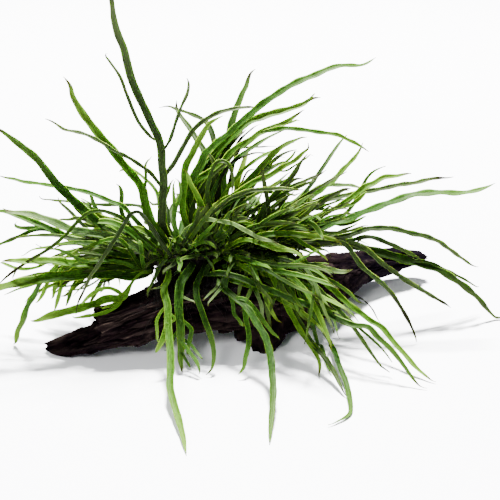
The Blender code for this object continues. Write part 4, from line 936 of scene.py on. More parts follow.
def frond_line(path, lean, cloud):
    """The middle line of a frond from the stem to its tip, laid in its solid if it has one."""
    path = np.array(path, float)
    if cloud is None:
        near = int(np.linalg.norm(seen_at(stem_line) - path[0], axis=1).argmin())
        root = stem_line[near]
        first = at_depth(path[:1], root[1:2])[0]
        out = unit(first - root)
    else:
        near, stem_place = stem_point_near(cloud)
        away = np.linalg.norm(seen_at(stem_line) - path[0], axis=1) * PICTURE_UNIT
        away += SEAT_SHARE * np.linalg.norm(stem_line - stem_line[stem_place], axis=1)
        root = stem_line[int(away.argmin())]
        first = at_depth(path[:1], root[1:2])[0]
        out = unit(unit(cloud[near] - stem_line[stem_place]) + unit(first - root))
    radius = stem_radius(stem_share[int(np.linalg.norm(stem_line - root, axis=1).argmin())])
    seat = root + out * radius
    lengths = lengths_along(np.vstack([seen_at(seat), path]))
    share = lengths[1:] / lengths[-1]
    places = at_depth(path, seat[1] - lean * share ** LEAN_POWER)
    line = smooth_curve(np.vstack([root + out * (radius - ROOT_DEPTH), seat + out * STALK_RISE, places]),
                        RING_SPACING)
    if cloud is None:
        return line
    return np.vstack([line[:3], laid_in(line, cloud)[3:]])


def lobe_line(parent, path, number, cloud):
    """The middle line of a lobe, which starts inside its blade near the first point of its path."""
    path = np.array(path, float)
    nearest = np.linalg.norm(seen_at(parent) - path[0], axis=1).argmin()
    start = int(np.clip(nearest, 2, len(parent) - 3))
    slope = unit(parent[start + 2] - parent[start - 2])[1]
    spread = LOBE_SPREAD if number % 2 else -LOBE_SPREAD
    depth = parent[start][1] + lengths_along(path) * PICTURE_UNIT * (0.5 * slope - spread)
    line = smooth_curve(np.vstack([parent[start], at_depth(path, depth)[1:]]), RING_SPACING)
    return line if cloud is None else np.vstack([line[:1], laid_in(line, cloud)[1:]])


# %% [markdown]
# The wood is in the way of the fronds that hang in front of it. The ones that have a solid were
# laid clear of it there. The small ones that have none are slid towards the eye, a millimetre at
# a time, until they are out of the wood.

# %% Keeping clear of the wood
WOOD_MARGIN = 1.6  # mm
SECTION_POWER = 2.8  # 2 is an oval section, and more is squarer
MOST_SLIDE = 70  # mm
FIXED_POINTS = (6, 4)  # points at the root that aren't slid, and that aren't moved at all
SLIDE_REACH = (6, 3)  # points over which the slide is smoothed, once and again


def inside_wood(points):
    """Whether points are in the branch or its foot, swollen by the margin."""
    x = np.clip(points[:, 0], fine_x[0], fine_x[-1])
    y, half, bottom, top = (np.interp(x, fine_x, row) for row in wood_profile)
    slope = np.interp(x, fine_x, np.gradient(wood_profile[0], fine_x))
    across = np.abs(points[:, 1] - y) / np.sqrt(1 + slope ** 2) / (half + WOOD_MARGIN)
    height = np.abs(points[:, 2] - (top + bottom) / 2) / ((top - bottom) / 2 + WOOD_MARGIN)
    beside = (points[:, 0] > fine_x[0]) & (points[:, 0] < fine_x[-1])
    branch = (across ** SECTION_POWER + height ** SECTION_POWER < 1) & beside
    foot_x, foot_y, wide, deep = (np.interp(points[:, 2], FOOT_STATIONS[:, 4], column)
                                  for column in FOOT_STATIONS[:, :4].T)
    foot = (((points[:, 0] - foot_x) / (wide + WOOD_MARGIN)) ** 2
            + ((points[:, 1] - foot_y) / (deep + WOOD_MARGIN)) ** 2 < 1)
    return branch | (foot & (points[:, 2] < FOOT_STATIONS[-1, 4]))


def clear_of_wood(line):
    """The line, with its points slid towards the eye until none is in the wood."""
    line = line.copy()
    slide = np.zeros(len(line))
    away = unit(EYE - line)
    for _ in range(MOST_SLIDE):
        slide += inside_wood(line + away * slide[:, None])
    slide[:FIXED_POINTS[0]] = 0
    smoothed = np.maximum(moving_mean(slide, SLIDE_REACH[0]), slide)
    smoothed[:FIXED_POINTS[1]] = 0
    return line + away * moving_mean(smoothed, SLIDE_REACH[1])[:, None]


# %% [markdown]
# Each frond below is a row: its finish, its widest width in mm, how far its tip leans towards the
# eye in mm, its path in picture units from where it leaves the crown to its tip, and its lobes as
# width and path. A node of the same name, with frond_ in front, is the solid it lies in.

# %% The large fronds
FRONDS = {
    "tall_trident": ("dusky", 5.4, -30, [
        (162, 223), (162, 206), (164, 183), (162, 167), (161, 151), (158, 139), (150, 121), (140, 99),
        (132, 80), (127, 61), (124, 49), (118, 35), (114, 19), (111.6, 0), (109, -12), (107, -24)], [
        (2.4, [(158, 142), (153, 139), (140, 124), (134, 112), (126, 92), (119, 75), (110, 62),
               (104, 54), (105, 50.7)]),
        (2.8, [(162, 156), (163.4, 151.5), (170.6, 140), (177, 121), (183, 105), (188, 94), (189, 86),
               (188, 77)]),
        (3.2, [(164, 184), (166, 175), (175, 162.6), (183, 147.5), (192, 132.6), (199, 125),
               (207.6, 119), (217, 113.6), (233, 109), (245, 107.7), (257, 106)]),
        (3.2, [(163, 190), (150, 173), (137, 164), (124, 156), (111.6, 150), (99, 142), (86, 135.5),
               (73, 132), (64, 130), (54, 123), (45, 118)])]),
    "left_tall": ("fresh", 6.0, -20, [
        (151, 223), (146.7, 212), (144, 199), (142, 190), (135.5, 180), (127.6, 170.6), (119.6, 161),
        (111.6, 150), (100, 137), (89, 123), (80, 110), (72.5, 96), (70, 86), (64.6, 75)], [
        (2.0, [(143, 197), (146, 177), (145.4, 166), (149, 159.4), (152.3, 158)]),
        (1.8, [(128, 171), (124, 170), (119, 171)])]),
    "left_high": ("mid", 5.8, 10, [
        (130, 243), (105, 228), (89, 215), (80, 207), (72, 200), (63, 191), (57, 185), (46, 170.6),
        (36.7, 159), (22, 146.7), (9.6, 137), (0, 130), (-8, 124)], [
        (3.0, [(70, 199), (74.6, 205.6), (80, 212), (85, 216), (90, 222)])]),
    "left_thin": ("mid", 3.4, -30, [
        (140, 225), (130, 214), (123, 206.6), (109, 201.5), (100, 197.5), (89, 193.4), (77.5, 190.7),
        (66, 188.4), (54.5, 186.6), (46, 185), (34, 183.5), (23, 182), (14, 179), (6, 177.7),
        (-3, 175)], []),
    "left_dark": ("deep", 2.8, -40, [
        (143, 208), (137, 205.8), (117, 205.5), (99, 205), (83, 204), (69, 201.6), (57, 201),
        (49, 199.8), (39, 199.3), (37.3, 197)], [(1.4, [(96, 204), (87.6, 202), (81, 198)])]),
    "left_forked": ("mid", 5.4, -10, [
        (125, 250), (105, 246), (90, 244), (77.5, 242), (69, 239), (60, 235), (52, 231), (46, 228),
        (34, 223.5), (22, 218.5), (10, 213.6), (0, 212), (-14, 212)], [
        (3.0, [(46, 229), (34, 228), (26, 228.6), (17, 227.4), (14.4, 225), (13.5, 221.7)]),
        (3.2, [(58, 235), (46, 229.5), (40, 229.6), (31.6, 231.4), (23, 235), (11.5, 240), (0, 244.6),
               (-10, 249)])]),
    "left_grey": ("grey", 6.0, 10, [
        (128, 243), (110, 237), (90, 233), (74.6, 231), (66, 228), (57, 224), (49, 221), (40, 218),
        (31.6, 215), (20, 213), (10, 212.5), (2, 211)], []),
    "left_short": ("fresh", 6.2, -4, [
        (150, 249), (143, 244), (134.6, 237.6), (126, 232.5), (117, 227), (109, 222), (100, 218),
        (91.6, 215), (86, 213.5), (80, 211)], []),
    "left_diagonal": ("deep", 2.6, 25, [
        (140, 235), (118, 216), (98, 211), (86, 215), (77, 223), (68, 232.6), (61, 239.5), (52, 247),
        (40, 255), (32, 259), (23, 265), (14, 271), (6, 277.6), (-5, 286)], [
        (1.2, [(20, 267), (16, 271), (11.5, 279)])]),
    "left_fingers": ("fresh", 6.2, 24, [
        (140, 269), (120, 268), (105, 267), (90, 265.5), (66, 263), (54.5, 261.5), (31.6, 261.5),
        (11.5, 261), (2.3, 259)], [
        (2.8, [(48, 262), (40, 266.6), (31.6, 269), (23, 269.5), (14, 268), (7, 265), (-1, 261)]),
        (3.0, [(61, 263), (55, 268), (50, 273), (46.5, 285.6), (42, 296), (36, 304)]),
        (3.0, [(73, 264), (63, 269), (57, 279), (54, 292.5), (52.5, 300.5)]),
        (3.2, [(85, 265), (73, 270), (65, 279), (61.4, 288), (57.4, 301.7), (54, 311.4)])]),
    "left_broad": ("fresh", 8.2, 30, [
        (140, 276), (120, 275.5), (105, 274), (90, 274.7), (69, 276.4), (57, 277.6), (46, 278.7),
        (34, 281), (23, 282.7), (11.5, 285.6), (0, 288.5), (-14, 292), (-30, 297)], [
        (4.8, [(44, 279), (40, 285.6), (35.6, 295), (30, 303), (26, 313), (23, 322), (19, 330),
               (16.6, 340), (13.6, 353)]),
        (2.0, [(100, 275), (90, 280), (80, 284), (63, 286.7), (47.6, 282.7)]),
        (1.2, [(42, 280), (38, 279), (35.6, 276), (33, 273.5)]),
        (1.6, [(104, 276), (95, 283), (82, 288.5), (65, 291)])]),
    "left_striped": ("dusky", 3.4, 30, [
        (148, 222), (138.6, 210.7), (134.6, 211), (129, 215), (125, 222), (120, 230), (114.5, 239),
        (109, 247), (103, 256), (97, 266), (90, 276), (84, 290), (78, 302), (73, 313.5)], []),
    "left_lower": ("fresh", 6.4, 38, [
        (143, 272), (134, 280), (130, 286), (126, 293.6), (121, 298.5), (113, 299), (105, 300),
        (97, 303.6), (87, 306.6), (80, 309), (67, 312), (55, 315), (46, 318), (31, 323.5)], [
        (2.8, [(122, 297), (119, 304.5), (113, 309.5), (105, 313), (97, 315), (86, 316.6),
               (72, 318.5)]),
        (2.8, [(122, 296), (121, 294), (115, 290.6), (107, 288), (99.7, 290), (93.6, 293), (87, 298),
               (80, 306)]),
        (1.8, [(122, 299), (116.5, 303), (109, 306.6), (99.7, 309)])]),
    "back_left": ("mid", 5.0, -95, [(166, 225), (162, 200), (164, 205), (168, 232)], []),
    "hanging_left": ("fresh", 4.6, 60, [
        (168, 280), (164.5, 288), (165, 296), (167.6, 307), (168, 319), (168.5, 330), (170, 342),
        (170.7, 353), (171, 370), (170.6, 387), (174, 403), (178.6, 419), (182, 432), (187, 456)], [
        (2.0, [(166, 305), (163, 310), (157, 320), (157, 330), (157.7, 344)]),
        (3.2, [(167, 322), (165, 332), (161.5, 342), (155, 353)]),
        (1.6, [(172, 312), (175, 319), (170, 323), (166, 324)])]),
    "upright_pale": ("fresh", 4.4, -20, [
        (183, 215), (183, 195), (184, 184), (184.4, 173), (186.6, 164), (192, 154.6), (199, 140.6),
        (203, 133.7), (208.7, 124.5), (214, 120.5), (223, 116)], []),
    "upright_longest": ("mid", 5.0, -60, [
        (183, 205), (183, 195), (190, 184.5), (196, 173), (202, 161.5), (205, 154), (212, 147.5),
        (220, 140.6), (229, 133.7), (236, 127), (243, 121), (252, 113.6), (260, 106.7), (270, 98.7),
        (282, 91), (298, 82), (314, 75.7), (326.5, 70), (338, 66.4), (349, 65.7), (361.6, 65.4),
        (371, 62), (377, 59)], []),
    "upright_slim": ("fresh", 5.6, -72, [
        (190, 215), (200, 180), (215, 155), (232, 137), (245, 125), (252, 121), (261.5, 117.7),
        (273, 114), (284, 111), (296, 107), (303, 104.5), (311, 99), (320, 96)], [
        (1.4, [(300, 106), (307, 101), (315, 93)])]),
    "upright_forked": ("fresh", 4.8, -45, [
        (188, 205), (190, 196), (196, 182), (210, 173), (219, 166.6), (224.5, 161.5), (230, 154),
        (236, 149), (243, 145), (252, 139.5), (258.6, 134), (267, 130), (276, 126), (282, 124),
        (290, 120), (297, 114), (302, 107)], [
        (2.0, [(279, 126), (290, 123), (295, 121), (299, 119)]),
        (3.6, [(262, 133), (273, 130.4), (282, 128.8), (290, 129), (299, 130), (307, 131),
               (319, 132.7), (330, 134.6), (339, 136), (347, 140), (356, 144), (361, 147),
               (369, 150.4)])]),
    "upright_needle": ("mid", 5.2, -80, [
        (212, 200), (222, 165), (228, 140), (230.5, 128), (232, 122), (234.5, 115), (237, 107),
        (240, 100), (242.6, 93), (246, 87), (248, 80), (251, 73), (255.5, 69)], []),
    "upright_curl": ("deep", 4.6, -95, [
        (212, 200), (207, 170), (203, 150), (200, 146), (197, 141), (192, 133), (187.5, 126),
        (183, 120), (177, 110), (176, 100)], []),
    "upright_arch": ("deep", 4.4, -110, [
        (222, 190), (216, 150), (207, 123.5), (200, 118.5), (188, 113.5), (177, 110), (168, 106.5),
        (160, 106)], []),
    "upright_yellow": ("pale", 4.2, -50, [
        (228, 215), (236.5, 192), (237, 184), (239, 176), (242, 167), (244.6, 158.6), (247, 152),
        (249.5, 144.5)], []),
    "upright_nodding": ("deep", 3.0, 10, [
        (208, 200), (210, 178), (218, 162), (227, 163), (232, 173), (233, 184), (231, 197)], []),
    "rising_forked": ("fresh", 4.4, -35, [
        (225, 213), (237, 193), (242, 186.7), (250, 179), (258.6, 170), (267, 161), (273, 154.7),
        (278.7, 149.5), (287, 144), (296, 140), (301.7, 138), (307, 140.5)], [
        (2.4, [(262, 167), (269, 166.7), (277.6, 164.7)]),
        (1.6, [(264, 165), (266, 169), (270, 166), (273, 161), (275, 157)])]),
    "rising_branched": ("fresh", 4.4, -20, [
        (200, 222), (207, 212), (216, 206), (224.5, 200.5), (233, 196), (242, 191), (250, 185),
        (258.6, 180.5), (267, 178), (276, 172.5), (284, 167), (293, 162.7), (299, 157.6),
        (304.5, 152), (309, 149), (310.5, 142.5)], [
        (2.0, [(274, 173), (284, 164), (290, 159), (293.6, 154.7), (296, 148.7)]),
        (1.8, [(278, 173), (287, 171), (293.6, 166.7), (300.5, 162), (307, 157.6), (311.7, 152.4)])]),
    "rising_grey": ("dusky", 3.2, 12, [
        (203, 225), (207, 219), (213, 213), (222, 205), (230, 199), (239, 195), (250, 191),
        (261.5, 189.7), (273, 189), (284, 188.5), (303, 191)], []),
    "small_arch": ("grey", 3.2, 15, [
        (185, 232), (190.7, 227), (199, 222), (207, 219.5), (216, 220.6), (224.5, 222), (233, 224),
        (242, 228.6), (250, 232.7), (260, 238), (280, 243)], []),
    "back_middle": ("mid", 5.2, -120, [(205, 215), (207, 188), (212, 195), (215, 240)], []),
    "back_inner": ("mid", 4.6, -110, [(225, 222), (240, 200), (255, 205), (268, 238)], []),
    "pale_broad": ("grey", 5.6, 25, [
        (250, 254), (261.5, 255), (277.6, 258), (296, 264), (307, 266), (319, 268), (330, 270.6),
        (342, 272.5), (352, 273)], []),
    "front_sweep": ("mid", 4.3, 60, [
        (206, 275), (219, 273.7), (231.6, 276), (247, 281.4), (258, 286), (274, 292.5), (290, 299),
        (306, 305), (322, 311.6), (338, 319.6), (353.6, 326), (368, 327.6), (377.5, 337), (389, 348),
        (398, 358), (406, 369), (414, 380), (420.6, 386.5), (427, 389)], []),
    "front_fingers": ("mid", 5.4, 60, [
        (185, 276), (180, 284), (179, 296), (179, 311), (180.6, 326.5), (180.6, 338), (181, 349.5),
        (180.6, 361), (183, 374.5)], [
        (2.8, [(181, 318), (184, 322), (191, 329), (190, 338), (187.5, 349.5), (186, 356)]),
        (2.4, [(182, 340), (184, 345), (190, 353), (197, 363), (200.6, 374.5)]),
        (2.4, [(181, 326), (177, 332.6), (169, 345.6), (166, 352.5)]),
        (1.8, [(187, 338), (190.6, 345), (197, 353), (203, 359)]),
        (1.8, [(181, 350), (184, 357), (191, 368.6)])]),
    "front_single": ("mid", 3.8, 60, [
        (196, 287), (197, 297), (202, 311), (206, 323), (210, 334), (213, 345.6), (214, 356),
        (212, 368), (207, 377)], []),
    "front_trident": ("mid", 4.8, 60, [
        (224, 288), (232.6, 296), (242, 303.6), (249.5, 311), (257, 324), (263, 334), (268, 345.6),
        (270.7, 359), (272, 375), (273, 391), (272, 407), (270.7, 423), (270, 439), (269.6, 445.5)], [
        (2.4, [(230, 293), (233, 303.6), (234, 313.5), (240, 321), (243, 326.5), (240.7, 328)]),
        (3.2, [(244, 306), (246, 315), (247, 323), (248.7, 334), (248.7, 344), (246, 357),
               (244, 368), (238, 374.5)]),
        (2.8, [(236, 298), (245.6, 299.7), (252, 306), (258.6, 315), (266, 325), (273, 333),
               (281, 338)])]),
    "right_dark_rising": ("deep", 4.0, -30, [
        (230, 235), (240, 223), (250, 214), (258.6, 208.6), (267, 203.5), (276, 199), (284, 193),
        (293, 187), (302, 183), (310, 179), (319, 175), (326.6, 170)], []),
    "right_thin": ("mid", 3.2, -85, [
        (250, 228), (270, 215), (284, 207), (293, 202), (299, 198), (304.5, 192), (310, 186),
        (315.5, 180.5)], []),
    "right_hooked": ("fresh", 4.8, -45, [
        (255, 228), (276, 215), (284, 211.5), (293, 207.5), (302, 203), (310, 199), (319, 193),
        (326, 187), (333, 182), (340, 174.5), (344, 170), (350, 164), (354.7, 158.7), (358.7, 153),
        (364.7, 143.5)], []),
    "right_pale_arch": ("grey", 3.6, -70, [
        (300.5, 199.5), (310, 193), (322, 187), (333, 185.7), (350, 185.7), (356, 187), (362, 188.5),
        (369, 189.5)], []),
    "right_wide": ("fresh", 4.4, -25, [
        (290, 228), (319, 216), (330, 212), (338, 208), (344, 204), (351, 199), (358, 193),
        (366, 187), (373, 184.5), (379, 180.5), (384.5, 177.6), (392, 177), (399, 176), (404.6, 174),
        (411, 172)], [(2.8, [(340, 207), (349, 206), (354, 203), (359, 199), (367, 191)])]),
    "right_olive": ("dusky", 4.2, -50, [
        (304.5, 207.5), (316, 204), (327.5, 201), (341.5, 197), (353, 195), (364, 193), (376, 191),
        (387, 188.6), (399, 185.7), (410, 184), (417, 183), (433, 179), (448, 177), (452.5, 175)], []),
    "right_longest": ("mid", 6.6, -15, [
        (262, 248), (280, 241), (298, 236), (322, 228), (336, 223), (346, 221), (361.6, 214),
        (377.5, 208), (393.5, 202), (409, 196), (425, 193.7), (441, 193), (457, 193.7), (473, 192),
        (486, 188), (495.5, 183.4)], [
        (2.4, [(334, 225), (338, 225.5), (353.6, 223), (366, 216)]),
        (2.4, [(314, 231), (318, 224), (330, 217), (349, 214), (356, 213)])]),
    "right_nodding": ("dusky", 4.6, -20, [
        (307, 240), (323, 237.5), (339, 238), (352, 235), (365, 230), (377.6, 229), (393.5, 229.5),
        (409, 233.5), (425, 237), (438, 242), (451, 251), (463.6, 260), (478, 270)], []),
    "right_broad": ("deep", 7.0, 0, [
        (322, 245), (339, 243), (352, 246), (368, 250), (385.5, 254.6), (401.5, 259.6), (417, 264),
        (433, 268.6), (449, 276.5), (465, 287.7), (478, 299), (489, 311.6), (500, 324), (508, 334)], [
        (3.2, [(410, 261), (425, 262), (441, 268.5), (457, 276.5), (470, 283), (479, 288.5)]),
        (3.6, [(338, 245), (353, 240.5), (360.6, 238), (372, 237.5), (380, 240), (387, 243.6),
               (393.5, 246), (403, 250), (410, 253.6), (423, 260)]),
        (1.8, [(354, 242), (360, 240), (366.7, 233)])]),
    "right_falling": ("dusky", 4.0, 30, [
        (300, 244), (339, 243), (346, 246), (353.6, 256), (361.6, 267), (374, 278), (385.5, 287.7),
        (395, 299), (403, 311.6), (411, 326), (416, 339), (416.3, 343.5)], []),
    "right_low_dark": ("dusky", 4.0, 0, [
        (310, 246), (345, 243), (361.6, 247.5), (371, 254), (382, 264), (397, 275), (409, 283),
        (425, 292.5), (438, 300), (446, 305), (449, 310.5)], []),
    "right_low_long": ("fresh", 3.8, 60, [
        (310, 272), (318, 275), (324.6, 280.6), (333, 289.5), (346, 302), (358, 311.6), (371, 321),
        (382, 327.6), (393.5, 342), (406, 356), (417, 369), (427, 377), (436, 383.4)], []),
    "right_curled": ("mid", 3.8, 60, [
        (311, 308), (318.6, 321), (326.5, 337), (334.5, 353), (341, 370.6), (346, 383), (349, 397),
        (350.5, 409), (349, 419), (344, 425), (336, 427.5), (328, 426)], [
        (2.6, [(306, 304), (310.6, 318), (315, 335.5), (320, 353), (328, 369), (331, 373)])]),
    "right_front_dark": ("deep", 4.0, 60, [
        (298, 321), (309, 340), (318.6, 351.5), (330, 366), (339, 383), (347, 398)], []),
    "right_front_short": ("fresh", 4.0, 60, [
        (293, 318), (302.6, 335.5), (312, 348), (318.6, 361), (321, 378.6)], []),
    "back_right": ("mid", 4.8, -90, [(278, 216), (292, 222), (304, 243)], []),
}
NEVER_DARK = 1.0
# The share of a frond from which its tip is dark, where it isn't the usual one.
DARK_ENDS = {"tall_trident": 0.90, "hanging_left": NEVER_DARK, "left_lower": NEVER_DARK,
             "upright_pale": NEVER_DARK, "front_trident": 0.985, "right_longest": 0.985,
             "upright_longest": 0.985, "right_falling": 0.66, "right_low_dark": 0.86,
             "right_olive": 0.84, "left_diagonal": 0.72, "left_striped": 0.80,
             "right_dark_rising": 0.86, "right_curled": NEVER_DARK, "upright_needle": 0.90}
BARE_STALKS = {"left_lower": 0.24}  # share of the frond that is a bare stalk
TONES = (0.25, 0.75)  # of a large frond's green, from deep to light
LOBE_TONES = (-0.05, 0.25)  # how much lighter a lobe may be than its blade
LOBE_SEED = 13  # times a frond's seed: its lobes' seeds start there


def frond_shells(width, lean, path, lobes, cloud, seed, dark_from=DARK_FROM, bare=0.0, free=False):
    """The ribbons of one frond and its lobes."""
    rng = np.random.default_rng(seed)
    tone = rng.uniform(*TONES)
    main = frond_line(path, lean, cloud)
    main = clear_of_wood(main) if free else main
    shells = [ribbon(main, width * BLADE_FULLNESS, True, tone, dark_from, seed, bare)]
    for number, (lobe_width, lobe_path) in enumerate(lobes):
        line = lobe_line(main, lobe_path, number, cloud)
        shells.append(ribbon(line, lobe_width * BLADE_FULLNESS, False,
                             np.clip(tone + rng.uniform(*LOBE_TONES), 0, 1), dark_from,
                             seed * LOBE_SEED + number))
    return shells


for seed, (name, (finish, width, lean, path, lobes)) in enumerate(FRONDS.items(), 1):
    node = "frond_" + name
    shells = frond_shells(width, lean, path, lobes, solid_points(node), seed,
                          DARK_ENDS.get(name, DARK_FROM), BARE_STALKS.get(name, 0.0))
    make_piece("fern_" + name, shells, FERN[finish], [node])
print("made", len(FRONDS), "large fronds")

# %% [markdown]
# Between the large fronds grow young ones, and they fill the crown. The first group has its place
# in the solids, fused to the stem. The second group is only here: small fronds that the picture
# shows in front of the wood and between the others.

# %% The young fronds
YOUNG_FRONDS = [
    ("fresh", 2.4, -50, [(158, 196), (151.5, 185), (143, 177), (126, 164)]),
    ("mid", 2.8, 5, [(140, 243), (136, 240.5), (129, 237)]),
    ("fresh", 3.0, 10, [(120, 240), (103, 241), (90, 247), (77, 252), (66, 257), (55, 262)]),
    ("mid", 2.6, 20, [(120, 262), (90, 262), (75, 258), (69, 254), (60, 250), (48, 247)]),
    ("fresh", 3.2, -10, [(165, 222), (163.6, 207), (166, 195), (169, 189), (172, 178)]),
    ("mid", 2.4, -5, [(175, 225), (174.3, 204), (173, 180)]),
    ("dry", 2.4, -60, [(225, 212), (230, 180), (240, 149), (250, 147.8), (261, 147), (276, 146)]),
    ("mid", 4.0, -40, [(238, 221), (245, 214), (252, 206), (258, 199), (264, 192)]),
    ("deep", 3.6, -5, [(240, 235), (250, 226), (261, 219), (270, 210), (279, 202), (287, 197),
                       (296, 192)]),
    ("fresh", 2.6, -60, [(245, 205), (250, 195), (262, 188.5), (270, 187), (279, 183), (289, 179)]),
]
SMALL_FRONDS = [
    ("deep", 3.0, 0, [(120, 235), (95, 224), (77, 218), (69, 220), (60, 219), (56, 219)]),
    ("fresh", 2.2, 15, [(110, 246), (85, 242), (66, 243), (49, 247), (32, 250), (22, 258)]),
    ("mid", 1.6, 12, [(66, 243), (52, 246), (45, 247), (39, 246), (36, 243)]),
    ("mid", 2.8, -8, [(178, 240), (174.6, 219), (177, 207), (181, 193), (180, 184), (179, 177)]),
    ("fresh", 2.6, -30, [(265, 228), (296, 215), (316, 208.6), (336, 202), (346, 198)]),
    ("fresh", 2.4, 25, [(225, 258), (250, 261), (259, 266), (267, 271), (276, 274), (283, 281)]),
    ("mid", 3.4, 45, [(262, 275), (284, 277), (307, 280), (319, 281), (326, 285), (338, 296), (350, 306),
                      (372, 324)]),
    ("dry", 1.6, 40, [(300, 275), (330, 284), (350, 294), (362, 299), (371, 308), (377, 318),
                      (381, 326)]),
    ("mid", 1.9, 60, [(315, 303), (330, 311), (336, 327), (337, 339)]),
    ("fresh", 2.5, 55, [(300, 296), (322, 303), (334, 311), (352, 319)]),
    ("grey", 3.2, 40, [(247, 276), (252, 283), (257, 295), (261, 306), (262, 315), (266, 325)]),
    ("deep", 2.8, 42, [(258, 283), (265, 296), (267, 310), (270, 325), (271, 329)]),
    ("grey", 2.4, 35, [(225, 282), (215, 295), (206, 305)]),
    ("grey", 2.0, 38, [(218, 285), (210, 293), (203, 300)]),
    ("grey", 2.2, 36, [(176, 285), (183, 297), (196, 302)]),
    ("grey", 2.2, 30, [(188, 268), (177, 273), (169, 279), (161, 287), (151, 289)]),
    ("mid", 2.4, -25, [(196, 240), (205, 222), (213, 205), (216, 188)]),
    ("fresh", 2.2, -15, [(190, 240), (192, 222), (198, 207), (196, 190)]),
    ("mid", 3.0, -10, [(140, 240), (118, 233), (98, 230), (80, 232)]),
    ("deep", 3.4, 8, [(145, 258), (120, 256), (95, 254), (72, 250)]),
    ("mid", 3.6, 16, [(146, 262), (122, 263), (98, 260), (78, 264), (62, 270)]),
    ("deep", 3.0, 20, [(148, 268), (128, 272), (110, 280), (96, 284)]),
    ("fresh", 3.0, -18, [(250, 240), (275, 226), (300, 222), (322, 221)]),
    ("mid", 2.8, -34, [(246, 236), (268, 220), (292, 209), (318, 200), (338, 193)]),
    ("deep", 3.2, 5, [(262, 246), (290, 240), (318, 233), (346, 231), (368, 224)]),
    ("mid", 3.2, 28, [(270, 262), (296, 268), (320, 276), (345, 290), (362, 306)]),
    ("fresh", 2.4, 34, [(262, 268), (284, 276), (304, 288), (322, 302)]),
    ("deep", 4.6, -30, [(219, 228), (218, 206), (218, 190), (216, 174), (211, 158), (204, 150)]),
    ("mid", 4.6, -38, [(225, 228), (225, 206), (224, 188), (223, 172), (229, 156), (240, 147)]),
    ("deep", 4.2, -48, [(211, 226), (210, 204), (212, 186), (217, 168), (227, 150), (238, 137),
                        (247, 130)]),
    ("deep", 3.0, -30, [(190, 220), (194, 204), (206, 182), (218, 170), (229, 160), (236, 152),
                        (240, 145)]),
    ("dry", 2.8, -60, [(222, 200), (226, 170), (236, 146), (243, 137), (251, 130), (260, 122)]),
    ("dry", 2.0, -40, [(216, 205), (222, 176), (233, 162), (243, 157), (254, 153), (264, 153),
                       (285, 158)]),
    ("dry", 1.8, -30, [(228, 218), (238, 194), (243, 180), (248, 171), (253, 169), (257, 171)]),
    ("fresh", 2.8, -20, [(203, 228), (203, 212), (206, 196), (210, 182), (213, 171)]),
    ("mid", 3.8, -55, [(196, 222), (192, 200), (196, 182), (203, 166), (214, 152), (229, 140),
                       (243, 130)]),
    ("grey", 2.6, -62, [(200, 224), (198, 196), (203, 172), (215, 156), (229, 143), (241, 131),
                        (250, 118)]),
    ("mid", 3.4, -45, [(236, 226), (240, 204), (250, 190), (262, 176), (275, 166), (289, 160)]),
    ("deep", 3.0, -50, [(230, 222), (244, 196), (256, 180), (268, 166), (282, 154), (296, 149)]),
    ("mid", 3.0, -30, [(208, 222), (224, 206), (240, 197), (258, 191), (276, 185), (292, 176)]),
    ("deep", 4.8, 6, [(150, 256), (132, 248), (116, 240), (100, 236), (86, 238)]),
    ("mid", 5.0, 12, [(150, 262), (132, 257), (112, 254), (94, 250), (78, 249)]),
    ("deep", 5.0, 16, [(150, 268), (132, 268), (114, 268), (96, 271), (82, 272)]),
    ("mid", 4.8, 0, [(152, 250), (140, 240), (124, 228), (108, 222), (92, 222)]),
    ("fresh", 3.4, 50, [(212, 270), (232, 268), (256, 272), (282, 281), (306, 291), (330, 301),
                        (352, 312)]),
    ("mid", 3.2, 46, [(215, 266), (240, 262), (266, 268), (292, 279), (318, 292), (342, 307),
                      (360, 320)]),
    ("fresh", 3.0, 55, [(206, 273), (226, 279), (250, 287), (274, 297), (296, 309), (314, 322),
                        (330, 338)]),
    ("deep", 3.2, 42, [(222, 268), (246, 272), (270, 283), (290, 298), (304, 314), (312, 330)]),
    ("mid", 3.6, 48, [(210, 268), (236, 266), (262, 269), (290, 274), (316, 280), (340, 288)]),
    ("mid", 3.4, -50, [(206, 222), (212, 196), (222, 176), (236, 160), (252, 148), (268, 138),
                       (284, 130)]),
    ("fresh", 3.0, -42, [(214, 224), (222, 200), (232, 184), (246, 168), (262, 157), (280, 148),
                         (294, 142)]),
    ("deep", 3.2, -66, [(200, 222), (204, 190), (212, 168), (224, 150), (238, 134), (250, 122)]),
    ("mid", 3.4, 10, [(140, 262), (112, 264), (84, 268), (56, 272), (30, 276), (8, 282)]),
    ("fresh", 3.2, 18, [(142, 268), (116, 272), (90, 276), (64, 282), (42, 290), (24, 300)]),
    ("deep", 3.0, 0, [(136, 246), (108, 244), (80, 240), (54, 236), (30, 236), (8, 240)]),
]
CROWN_PIECES = {"young_fronds": (YOUNG_FRONDS, solid_points("rhizome")),
                "small_fronds": (SMALL_FRONDS, None)}
SMALL_SEED = 200  # from here on, plus the letters in the piece's name

for piece, (rows, cloud) in CROWN_PIECES.items():
    groups = {}
    for seed, (finish, width, lean, path) in enumerate(rows, SMALL_SEED + len(piece)):
        groups.setdefault(finish, []).extend(
            frond_shells(width, lean, path, [], cloud, seed, free=cloud is None))
    for finish, shells in groups.items():
        make_piece(f"{piece}_{finish}", shells, FERN[finish])
    print("made", len(rows), piece)

# %% [markdown]
# ## The dense middle
#
# Close to the stem the crown is dense. Nobody could place so many leaves one by one, so they are
# drawn at random. Each group has a share of the stem to grow from, a main way to go, a spread and a
# range of lengths. A leaf leaves the stem in its own direction, and its weight bends it down as
# the square of the way along it. The longer ones fork like the large fronds.

